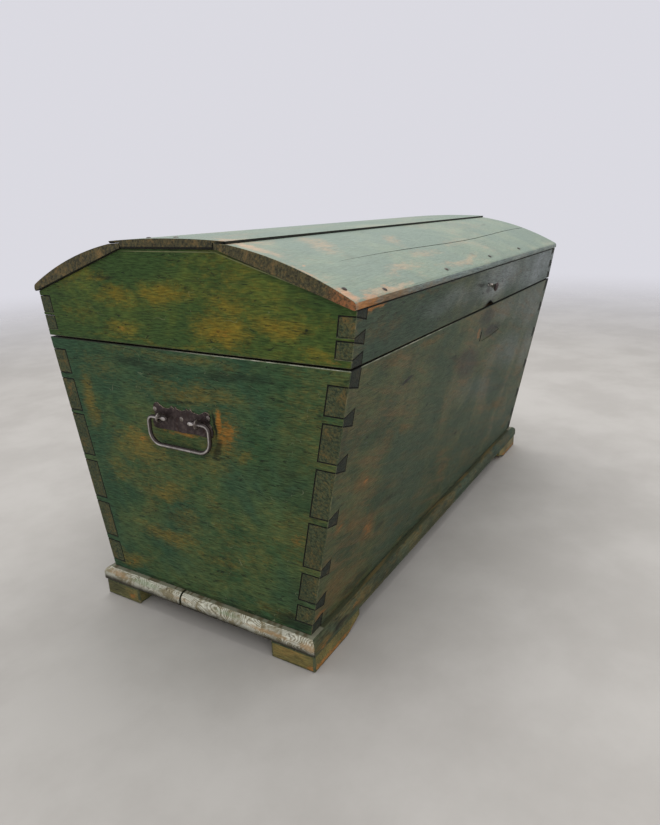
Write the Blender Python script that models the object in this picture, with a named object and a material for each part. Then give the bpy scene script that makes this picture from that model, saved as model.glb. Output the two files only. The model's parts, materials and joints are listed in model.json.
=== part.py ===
"""A painted pine trunk: upright dovetailed ends, a leaning front and back, a coffered lid of
three curved boards, a floor of two bullnosed planks on four feet, strap hinges behind, a
bail handle on each end and a bolt lock inside the front.

Metres, Z up. X runs along the length and the front faces -Y. The origin lies on the floor,
under the middle of the whole trunk, its knob and its back eave included.
"""

import math

import bmesh
import bpy
from mathutils import Matrix, Vector

# Gaps and cutters
CLEARANCE = 0.0003
RUNNING_CLEARANCE = 0.00008
OVERRUN = 0.006

# The bevels' section: a half is a quarter circle
ROUND_SHARE = 0.5

# Body
CHEST_LENGTH = 1.100
RIM_DEPTH = 0.612
SOLE_DEPTH = 0.447
WALL_HEIGHT = 0.4394
SIDE_THICKNESS = 0.032
END_THICKNESS = 0.028

# Dovetails: each pair is a tail's lower and upper edge, as shares of the wall's height
FRONT_TAIL_SHARES = (
    (0.045, 0.114), (0.139, 0.251), (0.281, 0.454), (0.481, 0.658), (0.688, 0.820), (0.848, 0.948),
)
BACK_TAIL_SHARES = (
    (0.034, 0.125), (0.150, 0.300), (0.325, 0.484), (0.511, 0.684), (0.702, 0.832), (0.857, 0.952),
)
LID_TAIL_SHARES = ((0.150, 0.465), (0.535, 0.900))
DOVETAIL_FLANK_SHARE = 0.25

# Floor planks and feet
PLANK_THICKNESS = 0.025
PLANK_PROJECTION = 0.0155
PLANK_JOINT_GAP = 0.004
PLANK_JOINT_Y = 0.043
PLANK_NOSE_RADIUS = 0.0125
PLANK_UNDER_RADIUS = 0.004
FOOT_HEIGHT = 0.032
FOOT_LENGTH = 0.150
FOOT_FLAT_LENGTH = 0.105
FOOT_WIDTH = 0.085
FOOT_TOE_RISE = 0.016
FOOT_INSET = 0.002
FOOT_WEAR = 0.0025

# Lid frame: its front and back lean out over the body by the flare
PARTING_GAP = 0.003
LID_FLARE = 0.0105
LID_SIDE_HEIGHT = 0.0766
LID_SIDE_THICKNESS = 0.026
RIDGE_SHARE = 0.1564
RIDGE_RISE = 0.0732

# Lid boards: the top one is nearly flat, and its thin tongues lie on the rounder slope boards
CROWN_THICKNESS = 0.0155
EAVE_THICKNESS = 0.0118
TOP_RADIUS = 1.7
SLOPE_RADIUS = 0.63
BOARD_END_OVERHANG = 0.006
FRONT_EAVE_OVERHANG = 0.0015
BACK_EAVE_OVERHANG = 0.002
LAP_LENGTH = 0.023
LAP_SETBACK = 0.005
LAP_GAP = 0.0016
TONGUE_THICKNESS = 0.0025
EAVE_EDGE_RADIUS = 0.004
SLOPE_STEPS = 12
TOP_STEPS = 14

# The shake in the front lid board
SHAKE_START_SHARE = -0.811
SHAKE_UPSLOPE = 0.096
SHAKE_WIDTH = 0.0018
SHAKE_DEPTH = 0.008
SHAKE_WANDER = 0.0035
SHAKE_STEPS = 12
SHAKE_WAVES_SHARES = (9.0, 4.0)
SHAKE_OPENING_SHARE = 0.25
SHAKE_OPENING_RATE_SHARE = 3.0

# Lid nails: a row along the front eave, as shares of half the length and the way up the slope,
# and two in the near end of the top board
FRONT_NAIL_SHARES = (-0.978, -0.8345, -0.3873, 0.0564, 0.4418)
FRONT_NAIL_UPSLOPES = (0.030, 0.009, 0.015, 0.018, 0.018)
TOP_NAIL_INSET = 0.015
TOP_NAIL_YS = (0.050, -0.006)
NAIL_HEAD_RADIUS = 0.0042
NAIL_HEAD_HEIGHT = 0.0014
NAIL_RADIUS = 0.0014
NAIL_LENGTH = 0.024
TACK_LENGTH = 0.019
NAIL_SIDES = 8
TAPER_START_SHARE = 0.6
HEAD_SHOULDER_SHARE = 0.62
HEAD_PEAK_SHARE = 1.2

# Knob on the lid's front
KNOB_X = 0.0
KNOB_RISE = 0.0455
KNOB_DROOP = 0.135
KNOB_LENGTH = 0.019
KNOB_HEAD_RADIUS = 0.009
KNOB_HEAD_THICKNESS = 0.0035
KNOB_NECK_RADIUS = 0.0042
KNOB_TENON_RADIUS = 0.003
KNOB_TENON_LENGTH = 0.020
KNOB_SIDES = 20
KNOB_WAIST_SHARE = 0.78
KNOB_WAIST_AT_SHARE = 0.45
KNOB_DOME_SHARE = 0.7

# The chip out of the lid's lower front edge
CHIP_LEFT_X = -0.006
CHIP_PEAK_X = 0.034
CHIP_RIGHT_X = 0.060
CHIP_HEIGHT = 0.010
CHIP_DEPTH_SHARE = 0.5

# Hinges
HINGE_SHARE = 0.6
HINGE_PLATE = 0.0025
KNUCKLE_RADIUS = 0.0055
KNUCKLE_SHIFT = 0.0003
HINGE_PIN_RADIUS = 0.0026
HINGE_PIN_HEAD = 0.0042
HINGE_PIN_HEAD_LENGTH = 0.002
MIDDLE_KNUCKLE = 0.018
OUTER_KNUCKLE = 0.013
KNUCKLE_SIDES = 24
PIN_DOME_SHARE = 0.7
STRAP_LENGTH = 0.165
LID_LEAF_LENGTH = 0.058
LID_LEAF_WIDTH = 0.060
STRAP_NAIL_DROPS = (0.034, 0.136)
LID_LEAF_NAIL_RISE = 0.036
LID_LEAF_NAIL_SPREAD = 0.019
STRAP_HALF_WIDTH_SHARES = (
    (0.0, 1.0), (0.12, 0.98), (0.45, 0.62), (0.66, 0.46), (0.70, 0.62), (0.77, 0.92),
    (0.83, 1.0), (0.89, 0.86), (0.95, 0.45), (1.0, 0.06),
)
LID_LEAF_HALF_WIDTH_SHARES = ((0.16, 0.62), (0.34, 0.80), (0.72, 1.0), (0.90, 0.94), (1.0, 0.62))

# Handles
HANDLE_Y = 0.0055
HANDLE_BELOW_RIM = 0.111
PLATE_WIDTH = 0.129
PLATE_ABOVE = 0.022
PLATE_BELOW = 0.0235
PLATE_THICKNESS = 0.0018
EYE_SPACING = 0.081
EYE_WIRE_RADIUS = 0.0021
EYE_BORE_RADIUS = 0.0043
EYE_SHANK_RADIUS = 0.0026
EYE_CLINCH_LENGTH = 0.014
RING_STEPS = 18
WIRE_SIDES = 8
BAIL_WIDTH = 0.128
BAIL_DROP = 0.047
BAIL_RADIUS = 0.0035
BAIL_LOW_CORNER = 0.022
BAIL_HIGH_CORNER = 0.010
BAIL_TIP_INSIDE = 0.019
BAIL_TIP_SWELL_SHARES = ((0.0, 0.35), (0.10, 0.95), (0.30, 1.30), (0.55, 1.22), (0.72, 0.95))
PLATE_NAIL_SPREAD = 0.057
PLATE_NAIL_RISE = 0.010
LOW_EAR_SHARE = 0.88
# Half of the plate's outline from the middle of its top edge, as shares of its half width
# and of its rise above the eyes' line or its drop below it
PLATE_TOP_SHARES = (
    (0.00, 0.64), (0.05, 0.66), (0.15, 0.76), (0.19, 0.90), (0.23, 0.74), (0.27, 0.78), (0.31, 0.92),
    (0.36, 0.72), (0.46, 0.64), (0.58, 0.66), (0.70, 0.84), (0.78, 1.00), (0.87, 0.96), (0.93, 0.74),
)
PLATE_SIDE_SHARES = ((0.90, 0.00), (0.97, -0.22))
PLATE_LOW_SHARES = (
    (1.00, -0.55), (0.96, -0.93), (0.84, -0.98), (0.42, -0.93), (0.12, -0.96), (0.0, -1.0),
)

# Lock
KEYHOLE_X = 0.019
KEYHOLE_BELOW_RIM = 0.055
KEYHOLE_WIDTH = 0.005
KEYHOLE_HEIGHT = 0.022
HOLLOW_LEFT_X = 0.031
HOLLOW_WIDTH = 0.124
HOLLOW_BELOW_KEYHOLE = 0.019
HOLLOW_HEIGHT = 0.0265
HOLLOW_DEPTH = 0.0009
HOLLOW_OUTLINE_SHARES = (
    (0.0, 0.0), (0.46, 0.02), (1.0, 0.20), (0.80, 0.52), (0.53, 0.85), (0.22, 1.0), (0.05, 0.50),
)
LOCK_LEFT = 0.045
LOCK_BELOW = 0.040
LOCK_ABOVE = 0.038
LOCK_DEPTH = 0.024
LOCK_WALL = 0.002
LOCK_EAR = 0.016
LOCK_EAR_HEIGHT = 0.030
BOLT_FRONT = 0.0075
BOLT_THICKNESS = 0.005
BOLT_WIDTH = 0.008
BOLT_ABOVE_KEYHOLE = 0.024
BOLT_TAIL = 0.032
BOLT_TRAVEL = 0.016
BOLT_NOSE_GAP = 0.0015
BOLT_END_ROOM = 0.0165
TALON_WIDTH = 0.010
TALON_DEPTH = 0.003
GUIDE_WIDTH = 0.006
GUIDE_RIM = 0.003
GUIDE_TAIL_INSET = 0.008
STAPLE_X = 0.035
STAPLE_THICKNESS = 0.006
STAPLE_BAR = 0.0028
STAPLE_HOLE_HEIGHT = 0.012
STAPLE_HOLE_SLACK = 0.002
STAPLE_ARM_HEIGHT = 0.008
STAPLE_PLATE_WIDTH = 0.040
STAPLE_PLATE_HEIGHT = 0.042
STAPLE_PLATE_SILL = 0.004
STAPLE_PLATE_THICKNESS = 0.003
STAPLE_SLOT_SLACK = 0.0015
STAPLE_SWING_ROOM = 0.004

# Heights and half depths that follow
PLANK_BOTTOM = FOOT_HEIGHT + CLEARANCE
WALL_BOTTOM = PLANK_BOTTOM + PLANK_THICKNESS + CLEARANCE
RIM_Z = WALL_BOTTOM + WALL_HEIGHT
LID_BOTTOM = RIM_Z + PARTING_GAP
EAVE_Z = LID_BOTTOM + LID_SIDE_HEIGHT
RIDGE_Z = EAVE_Z + RIDGE_RISE
CROWN_Z = RIDGE_Z + CLEARANCE + CROWN_THICKNESS
HALF_LENGTH = CHEST_LENGTH / 2
EAVE_DEPTH = RIM_DEPTH + 2 * LID_FLARE
RIDGE_HALF_WIDTH = EAVE_DEPTH * RIDGE_SHARE
EAVE_TOP_Z = EAVE_Z + CLEARANCE + EAVE_THICKNESS
LAP_INNER = RIDGE_HALF_WIDTH - LAP_SETBACK
LAP_OUTER = LAP_INNER + LAP_LENGTH
BODY_LEAN = (RIM_DEPTH - SOLE_DEPTH) / (2 * WALL_HEIGHT)
LID_LEAN = LID_FLARE / LID_SIDE_HEIGHT
FACET_SLOPE = RIDGE_RISE / (EAVE_DEPTH / 2 - RIDGE_HALF_WIDTH)
HINGE_Y = RIM_DEPTH / 2 + KNUCKLE_RADIUS + KNUCKLE_SHIFT
HINGE_Z = RIM_Z + PARTING_GAP / 2
KNOB_Z = LID_BOTTOM + KNOB_RISE
HANDLE_Z = RIM_Z - HANDLE_BELOW_RIM
KEYHOLE_Z = RIM_Z - KEYHOLE_BELOW_RIM
BODY_LEAN_ANGLE = math.atan(BODY_LEAN)
LID_LEAN_ANGLE = math.atan(LID_LEAN)

# The lock, measured from the keyhole's middle on the front board's inner face
BOLT_LOW = BOLT_ABOVE_KEYHOLE
BOLT_HIGH = BOLT_LOW + BOLT_WIDTH
BOLT_BACK = BOLT_FRONT + BOLT_THICKNESS
STAPLE_LEFT = STAPLE_X - STAPLE_THICKNESS / 2
STAPLE_RIGHT = STAPLE_X + STAPLE_THICKNESS / 2
BOLT_NOSE = STAPLE_LEFT - BOLT_NOSE_GAP
LOCK_RIGHT = BOLT_NOSE + BOLT_TRAVEL + BOLT_END_ROOM + LOCK_WALL
STAPLE_FRONT = BOLT_FRONT - STAPLE_HOLE_SLACK - STAPLE_BAR
STAPLE_BACK = BOLT_BACK + STAPLE_HOLE_SLACK + STAPLE_BAR
STAPLE_HOLE_LOW = BOLT_LOW - (STAPLE_HOLE_HEIGHT - BOLT_WIDTH) / 2


def body_face(z):
    """Half the body's depth at height z."""
    return SOLE_DEPTH / 2 + (z - WALL_BOTTOM) * BODY_LEAN


def lid_face(z):
    """Half the lid frame's depth at height z, up to the eave."""
    return RIM_DEPTH / 2 + (z - LID_BOTTOM) * LID_LEAN


def facet_z(y):
    """Height of the lid frame's top edge: flat between the ridges, then down to the eaves."""
    return RIDGE_Z - max(abs(y) - RIDGE_HALF_WIDTH, 0) * FACET_SLOPE


def top_z(y):
    """Height of the top lid board's outside."""
    return CROWN_Z - TOP_RADIUS + math.sqrt(TOP_RADIUS**2 - y**2)


def lap_z(y):
    """Height of a slope board under the top board's tongue."""
    return top_z(y) - TONGUE_THICKNESS - LAP_GAP


def slope_centre():
    """The middle of the circle that a slope board's outside follows from the lap to the eave."""
    run = EAVE_DEPTH / 2 - LAP_OUTER
    rise = lap_z(LAP_OUTER) - EAVE_TOP_Z
    chord = math.hypot(run, rise)
    leg = math.sqrt(SLOPE_RADIUS**2 - chord**2 / 4)
    y = (EAVE_DEPTH / 2 + LAP_OUTER) / 2 - leg * rise / chord
    z = (EAVE_TOP_Z + lap_z(LAP_OUTER)) / 2 - leg * run / chord
    return y, z


SLOPE_CENTRE_Y, SLOPE_CENTRE_Z = slope_centre()


def slope_z(y):
    """Height of the back slope board's outside."""
    return SLOPE_CENTRE_Z + math.sqrt(SLOPE_RADIUS**2 - (y - SLOPE_CENTRE_Y) ** 2)


# The knob's face droops, so its upper rim stands furthest forward
KNOB_ANGLE = LID_LEAN_ANGLE + KNOB_DROOP
KNOB_REACH = (
    KNOB_LENGTH * math.cos(KNOB_ANGLE) + KNOB_HEAD_RADIUS * KNOB_DOME_SHARE * math.sin(KNOB_ANGLE)
)
KNOB_FRONT_Y = -(lid_face(KNOB_Z) + KNOB_REACH)
BACK_EAVE_Y = EAVE_DEPTH / 2 + BACK_EAVE_OVERHANG
FRONT_EAVE_Y = -(EAVE_DEPTH / 2 + FRONT_EAVE_OVERHANG)

# Finishes: red, green, blue, roughness and metallic
PINE_GREEN = "painted_pine_green"
PINE_GREY = "painted_pine_grey_green"
PINE_MINT = "painted_pine_mint"
PINE_WORN = "worn_pine_edge"
PINE_OLIVE = "painted_pine_olive"
WROUGHT_IRON = "wrought_iron"
BRIGHT_IRON = "rubbed_iron"
FINISH_SHARES = {
    PINE_GREEN: (0.055, 0.110, 0.075, 0.62, 0.0),
    PINE_GREY: (0.120, 0.155, 0.135, 0.60, 0.0),
    PINE_MINT: (0.400, 0.520, 0.450, 0.55, 0.0),
    PINE_WORN: (0.330, 0.290, 0.200, 0.65, 0.0),
    PINE_OLIVE: (0.170, 0.150, 0.060, 0.65, 0.0),
    WROUGHT_IRON: (0.060, 0.050, 0.048, 0.45, 0.9),
    BRIGHT_IRON: (0.300, 0.280, 0.260, 0.35, 1.0),
}


def clear_scene():
    for old in list(bpy.data.objects):
        bpy.data.objects.remove(old, do_unlink=True)


def material(finish):
    """The Principled material of one finish, made once."""
    found = bpy.data.materials.get(finish)
    if found:
        return found
    *colour, roughness, metallic = FINISH_SHARES[finish]
    made = bpy.data.materials.new(finish)
    made.use_nodes = True
    shader = made.node_tree.nodes["Principled BSDF"]
    shader.inputs["Base Color"].default_value = (*colour, 1)
    shader.inputs["Roughness"].default_value = roughness
    shader.inputs["Metallic"].default_value = metallic
    made.diffuse_color = (*colour, 1)
    return made


def empty(name, location, parent=None, rotation=(0, 0, 0)):
    made = bpy.data.objects.new(name, None)
    made.location = location
    made.rotation_euler = rotation
    made.parent = parent
    bpy.context.scene.collection.objects.link(made)
    return made


def finished(name, mesh_work, finish, parent):
    """Turns a bmesh into an object under its parent; without a finish it is a cutter."""
    bmesh.ops.recalc_face_normals(mesh_work, faces=mesh_work.faces)
    mesh = bpy.data.meshes.new(name)
    mesh_work.to_mesh(mesh)
    mesh_work.free()
    made = bpy.data.objects.new(name, mesh)
    bpy.context.scene.collection.objects.link(made)
    made.parent = parent
    if finish:
        mesh.materials.append(material(finish))
    else:
        made.hide_render = True
        made.display_type = "WIRE"
    return made


def hang(obj, axis):
    """Parents a piece modelled in the trunk's frame to the empty on its joint's axis."""
    obj.parent = axis
    obj.matrix_parent_inverse = axis.matrix_basis.inverted()


def cut(obj, cutter, operation="DIFFERENCE"):
    boolean = obj.modifiers.new(cutter.name, "BOOLEAN")
    boolean.operation = operation
    boolean.solver = "EXACT"
    boolean.object = cutter


def add_prism(work, near, far):
    """A closed prism between two outlines that have the same number of corners."""
    first = [work.verts.new(corner) for corner in near]
    last = [work.verts.new(corner) for corner in far]
    work.faces.new(first)
    work.faces.new(list(reversed(last)))
    for i in range(len(first)):
        j = (i + 1) % len(first)
        work.faces.new((first[i], first[j], last[j], last[i]))


def add_block(work, low, high):
    corners = [(low[0], low[2]), (high[0], low[2]), (high[0], high[2]), (low[0], high[2])]
    add_prism(work, [(x, low[1], z) for x, z in corners], [(x, high[1], z) for x, z in corners])


def slab(name, outline, near, far, finish, parent):
    """A board or plate drawn on X and Z, between two leaning faces given as functions of z."""
    work = bmesh.new()
    add_prism(work, [(x, near(z), z) for x, z in outline], [(x, far(z), z) for x, z in outline])
    return finished(name, work, finish, parent)


def lengthwise(name, section, x_low, x_high, finish, parent, edges=(), radius=0.0, segments=2):
    """A board drawn on Y and Z and run along X. The long edges at the given corners are rounded."""
    work = bmesh.new()
    add_prism(work, [(x_low, y, z) for y, z in section], [(x_high, y, z) for y, z in section])
    if edges:
        round_edges(work, radius, segments, lambda a, b: any(
            corner_is(a, section[i]) and corner_is(b, section[i]) for i in edges))
    return finished(name, work, finish, parent)


def corner_is(vertex, corner):
    return abs(vertex.co.y - corner[0]) < CLEARANCE and abs(vertex.co.z - corner[1]) < CLEARANCE


def round_edges(work, radius, segments, wanted):
    """Bevels the edges whose two ends pass the test."""
    chosen = [edge for edge in work.edges if wanted(*edge.verts)]
    bmesh.ops.bevel(
        work, geom=chosen, offset=radius, segments=segments, profile=ROUND_SHARE, affect="EDGES",
    )


def frame_at(point, direction):
    """A matrix at the point whose Z looks along the direction."""
    turn = Vector(direction).normalized().to_track_quat("Z", "Y").to_matrix().to_4x4()
    return Matrix.Translation(point) @ turn


def add_turned(work, profile, sides, place):
    """A solid turned round the place's Z from (radius, height) pairs; a radius of 0 is a pole."""
    rings = []
    for radius, height in profile:
        count = sides if radius > 0 else 1
        rings.append([
            work.verts.new(place @ Vector((
                radius * math.cos(2 * math.pi * i / sides),
                radius * math.sin(2 * math.pi * i / sides),
                height,
            )))
            for i in range(count)
        ])
    for ring, after in zip(rings, rings[1:]):
        for i in range(sides):
            j = (i + 1) % sides
            corners = []
            for row, k in ((ring, i), (ring, j), (after, j), (after, i)):
                vertex = row[k % len(row)]
                if vertex not in corners:
                    corners.append(vertex)
            work.faces.new(corners)
    for ring in (rings[0], rings[-1]):
        if len(ring) > 1:
            work.faces.new(ring)


def turned(name, profile, sides, place, finish, parent):
    work = bmesh.new()
    add_turned(work, profile, sides, place)
    return finished(name, work, finish, parent)


def drill(name, spots, radius, depth, parent, sides=NAIL_SIDES):
    """One cutter for several holes. A spot is a point on the surface and its outward direction."""
    work = bmesh.new()
    for point, direction in spots:
        add_turned(work, [(radius, -depth), (radius, OVERRUN)], sides, frame_at(point, direction))
    return finished(name, work, None, parent)


def nail_holes(name, spots, length, parent):
    """The holes that driven nails leave: each follows its nail's shank down to the point."""
    work = bmesh.new()
    wide = NAIL_RADIUS + CLEARANCE
    profile = [(0, -length - 2 * CLEARANCE), (wide, -length * TAPER_START_SHARE), (wide, OVERRUN)]
    for point, direction in spots:
        add_turned(work, profile, NAIL_SIDES, frame_at(point, direction))
    return finished(name, work, None, parent)


def nail(name, point, direction, length, parent):
    """A forged nail: a low faceted head over a shank that tapers to its point."""
    profile = [
        (0, -length),
        (NAIL_RADIUS, -length * TAPER_START_SHARE),
        (NAIL_RADIUS, CLEARANCE),
        (NAIL_HEAD_RADIUS, CLEARANCE),
        (NAIL_HEAD_RADIUS * HEAD_SHOULDER_SHARE, NAIL_HEAD_HEIGHT),
        (0, NAIL_HEAD_HEIGHT * HEAD_PEAK_SHARE),
    ]
    return turned(name, profile, NAIL_SIDES, frame_at(point, direction), WROUGHT_IRON, parent)


def tails(shares, low, height):
    """The lower and upper edge of each tail in metres, bottom to top."""
    return [(low + a * height, low + b * height) for a, b in shares]


def dovetailed_outline(tail_rows, low, high):
    """A front or back board's outline on X and Z: tails reach the end faces, sockets stop short."""
    shoulder = HALF_LENGTH - END_THICKNESS - CLEARANCE
    flank = DOVETAIL_FLANK_SHARE * (END_THICKNESS + CLEARANCE)
    right = [(shoulder, low)]
    for bottom, top in tail_rows:
        right += [(shoulder, bottom + flank), (HALF_LENGTH, bottom)]
        right += [(HALF_LENGTH, top), (shoulder, top - flank)]
    right.append((shoulder, high))
    return right + [(-x, z) for x, z in reversed(right)]


def tail_sockets(name, tail_rows, end, near, far, parent):
    """The cutter for one row of tails through an end board. end is -1 on the left, 1 on the right."""
    work = bmesh.new()
    out = HALF_LENGTH + OVERRUN
    inside = HALF_LENGTH - END_THICKNESS - OVERRUN
    for bottom, top in tail_rows:
        corners = []
        for x in (out, inside):
            shift = DOVETAIL_FLANK_SHARE * (HALF_LENGTH - x)
            corners.append((x, bottom + shift - CLEARANCE))
            corners.append((x, top - shift + CLEARANCE))
        outline = [corners[0], corners[1], corners[3], corners[2]]
        add_prism(
            work,
            [(end * x, near(z), z) for x, z in outline],
            [(end * x, far(z), z) for x, z in outline],
        )
    return finished(name, work, None, parent)


def end_panel(name, section, end, finish, parent):
    """An upright end board, drawn on Y and Z."""
    inner = end * (HALF_LENGTH - END_THICKNESS)
    outer = end * HALF_LENGTH
    return lengthwise(name, section, min(inner, outer), max(inner, outer), finish, parent)


def cut_corner(panel, rows, end, side, face, thickness, parent):
    """Cuts one upright corner of an end board for the tails of the board that meets it there."""
    cut(panel, tail_sockets(
        f"{panel.name}_sockets_{'front' if side < 0 else 'back'}", rows, end,
        lambda z: side * (face(z) + OVERRUN),
        lambda z: side * (face(z) - thickness - CLEARANCE),
        parent,
    ))


def body_walls(root):
    """The four leaning and upright boards of the body."""
    front_rows = tails(FRONT_TAIL_SHARES, WALL_BOTTOM, WALL_HEIGHT)
    back_rows = tails(BACK_TAIL_SHARES, WALL_BOTTOM, WALL_HEIGHT)
    walls = {}
    for name, side, rows in (("front_board", -1, front_rows), ("back_board", 1, back_rows)):
        walls[name] = slab(
            name, dovetailed_outline(rows, WALL_BOTTOM, RIM_Z),
            lambda z: side * body_face(z),
            lambda z: side * (body_face(z) - SIDE_THICKNESS),
            PINE_GREY, root,
        )
    section = [
        (-body_face(WALL_BOTTOM), WALL_BOTTOM), (body_face(WALL_BOTTOM), WALL_BOTTOM),
        (body_face(RIM_Z), RIM_Z), (-body_face(RIM_Z), RIM_Z),
    ]
    for name, end in (("left_end_board", -1), ("right_end_board", 1)):
        walls[name] = end_panel(name, section, end, PINE_GREEN, root)
        cut_corner(walls[name], front_rows, end, -1, body_face, SIDE_THICKNESS, root)
        cut_corner(walls[name], back_rows, end, 1, body_face, SIDE_THICKNESS, root)
    return walls


def on_outer_edge(a, b, level, outer_y):
    """Whether an edge lies at this height, on a plank's end or on its outer long side."""
    at_level = all(abs(vertex.co.z - level) < CLEARANCE for vertex in (a, b))
    on_end = abs(a.co.x - b.co.x) < CLEARANCE
    on_side = all(abs(abs(vertex.co.y) - outer_y) < CLEARANCE for vertex in (a, b))
    return at_level and (on_end or on_side)


def floor_planks(root):
    """Two lengthwise planks that stand out all round, with a rounded nose and an open joint."""
    outer_y = SOLE_DEPTH / 2 + PLANK_PROJECTION
    reach_x = HALF_LENGTH + PLANK_PROJECTION
    top = PLANK_BOTTOM + PLANK_THICKNESS
    for name, low_y, high_y in (
        ("front_floor_plank", -outer_y, PLANK_JOINT_Y - PLANK_JOINT_GAP / 2),
        ("back_floor_plank", PLANK_JOINT_Y + PLANK_JOINT_GAP / 2, outer_y),
    ):
        work = bmesh.new()
        add_block(work, (-reach_x, low_y, PLANK_BOTTOM), (reach_x, high_y, top))
        for level, radius, segments in (
            (top, PLANK_NOSE_RADIUS, 5),
            (PLANK_BOTTOM, PLANK_UNDER_RADIUS, 2),
        ):
            round_edges(work, radius, segments, lambda a, b: on_outer_edge(a, b, level, outer_y))
        finished(name, work, PINE_WORN, root)


def feet(root):
    """Four corner blocks whose undersides rise towards their inner ends."""
    outer_x = HALF_LENGTH + PLANK_PROJECTION - FOOT_INSET
    outer_y = SOLE_DEPTH / 2 + PLANK_PROJECTION - FOOT_INSET
    profile = [
        (0, 0), (FOOT_FLAT_LENGTH, 0), (FOOT_LENGTH, FOOT_TOE_RISE),
        (FOOT_LENGTH, FOOT_HEIGHT), (0, FOOT_HEIGHT),
    ]
    for name, end, side in (
        ("front_left_foot", -1, -1), ("front_right_foot", 1, -1),
        ("back_left_foot", -1, 1), ("back_right_foot", 1, 1),
    ):
        outline = [(end * (outer_x - x), z) for x, z in profile]
        foot = slab(
            name, outline,
            lambda z: side * outer_y,
            lambda z: side * (outer_y - FOOT_WIDTH),
            PINE_OLIVE, root,
        )
        bevel = foot.modifiers.new("worn_edges", "BEVEL")
        bevel.width = FOOT_WEAR
        bevel.segments = 2
        bevel.limit_method = "ANGLE"


def lid_rail(name, side, root):
    """A low front or back board of the lid, its top edge sloped to carry the lid board."""
    rows = tails(LID_TAIL_SHARES, LID_BOTTOM, LID_SIDE_HEIGHT)
    outline = dovetailed_outline(rows, LID_BOTTOM, EAVE_Z)
    inner_rise = LID_SIDE_THICKNESS * FACET_SLOPE / (1 + LID_LEAN * FACET_SLOPE)
    inner = [(x, z + inner_rise if z == EAVE_Z else z) for x, z in outline]
    work = bmesh.new()
    add_prism(
        work,
        [(x, side * lid_face(z), z) for x, z in outline],
        [(x, side * (lid_face(z) - LID_SIDE_THICKNESS), z) for x, z in inner],
    )
    return finished(name, work, PINE_GREY, root), rows


def lid_frame(root):
    """Front and back rails dovetailed to two gables."""
    front, rows = lid_rail("lid_front_rail", -1, root)
    back, _ = lid_rail("lid_back_rail", 1, root)
    half = [
        (lid_face(LID_BOTTOM), LID_BOTTOM), (lid_face(EAVE_Z), EAVE_Z), (RIDGE_HALF_WIDTH, RIDGE_Z),
    ]
    section = half + [(-y, z) for y, z in reversed(half)]
    gables = []
    for name, end in (("lid_left_gable", -1), ("lid_right_gable", 1)):
        gable = end_panel(name, section, end, PINE_GREEN, root)
        for side in (-1, 1):
            cut_corner(gable, rows, end, side, lid_face, LID_SIDE_THICKNESS, root)
        gables.append(gable)
    return front, back, gables


def arc(height, y_from, y_to, steps):
    """Points along a lid board's outside, whose height is given as a function of y."""
    return [(y, height(y)) for y in (y_from + (y_to - y_from) * i / steps for i in range(steps + 1))]


def slope_section(side, eave_y):
    """A front or back lid board on Y and Z, from its eave up to the lap under the top board."""
    eave = abs(eave_y)
    points = [
        (eave, facet_z(eave) + CLEARANCE),
        (RIDGE_HALF_WIDTH, RIDGE_Z + CLEARANCE),
        (LAP_INNER, RIDGE_Z + CLEARANCE),
        (LAP_INNER, lap_z(LAP_INNER)),
    ]
    return [(side * y, z) for y, z in points + arc(slope_z, LAP_OUTER, eave, SLOPE_STEPS)]


def top_section():
    """The top lid board on Y and Z: a thin tongue on each side lies over its neighbour."""
    inner = LAP_INNER - LAP_GAP
    outer = LAP_OUTER - LAP_GAP
    half = [
        (inner, RIDGE_Z + CLEARANCE),
        (inner, top_z(inner) - TONGUE_THICKNESS),
        (outer, top_z(outer) - TONGUE_THICKNESS),
    ]
    return half + arc(top_z, outer, -outer, TOP_STEPS) + [(-y, z) for y, z in reversed(half)]


def slope_point(x, upslope):
    """A point on the front slope, at a distance up its curve from the eave, and its normal."""
    at_eave = math.asin((-FRONT_EAVE_Y - SLOPE_CENTRE_Y) / SLOPE_RADIUS)
    angle = at_eave - upslope / SLOPE_RADIUS
    normal = Vector((0, -math.sin(angle), math.cos(angle)))
    return Vector((x, -SLOPE_CENTRE_Y, SLOPE_CENTRE_Z)) + SLOPE_RADIUS * normal, normal


def top_point(x, y):
    """A point on the top board's outside, and its normal."""
    normal = Vector((0, y, math.sqrt(TOP_RADIUS**2 - y**2))).normalized()
    return Vector((x, y, top_z(y))), normal


def shake_cutter(root):
    """A wandering wedge that opens the long shake along the front lid board."""
    work = bmesh.new()
    start_x = HALF_LENGTH * SHAKE_START_SHARE
    end_x = HALF_LENGTH + BOARD_END_OVERHANG + OVERRUN
    rows = []
    for i in range(SHAKE_STEPS + 1):
        along = i / SHAKE_STEPS
        x = start_x + (end_x - start_x) * along
        fast, slow = (math.sin(waves * along) for waves in SHAKE_WAVES_SHARES)
        point, normal = slope_point(x, SHAKE_UPSLOPE + SHAKE_WANDER * (fast - slow))
        across = normal.cross(Vector((1, 0, 0)))
        half = SHAKE_WIDTH / 2 * min(1, SHAKE_OPENING_SHARE + along * SHAKE_OPENING_RATE_SHARE)
        # The wedge keeps its flanks above the surface, so the mouth there has the stated width
        lift = 1 + OVERRUN / SHAKE_DEPTH
        rows.append([
            work.verts.new(point - normal * SHAKE_DEPTH),
            work.verts.new(point + normal * OVERRUN + across * half * lift),
            work.verts.new(point + normal * OVERRUN - across * half * lift),
        ])
    for row, after in zip(rows, rows[1:]):
        for i in range(3):
            j = (i + 1) % 3
            work.faces.new((row[i], row[j], after[j]))
            work.faces.new((row[i], after[j], after[i]))
    work.faces.new(rows[0])
    work.faces.new(rows[-1])
    return finished("shake_cutter", work, None, root)


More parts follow.
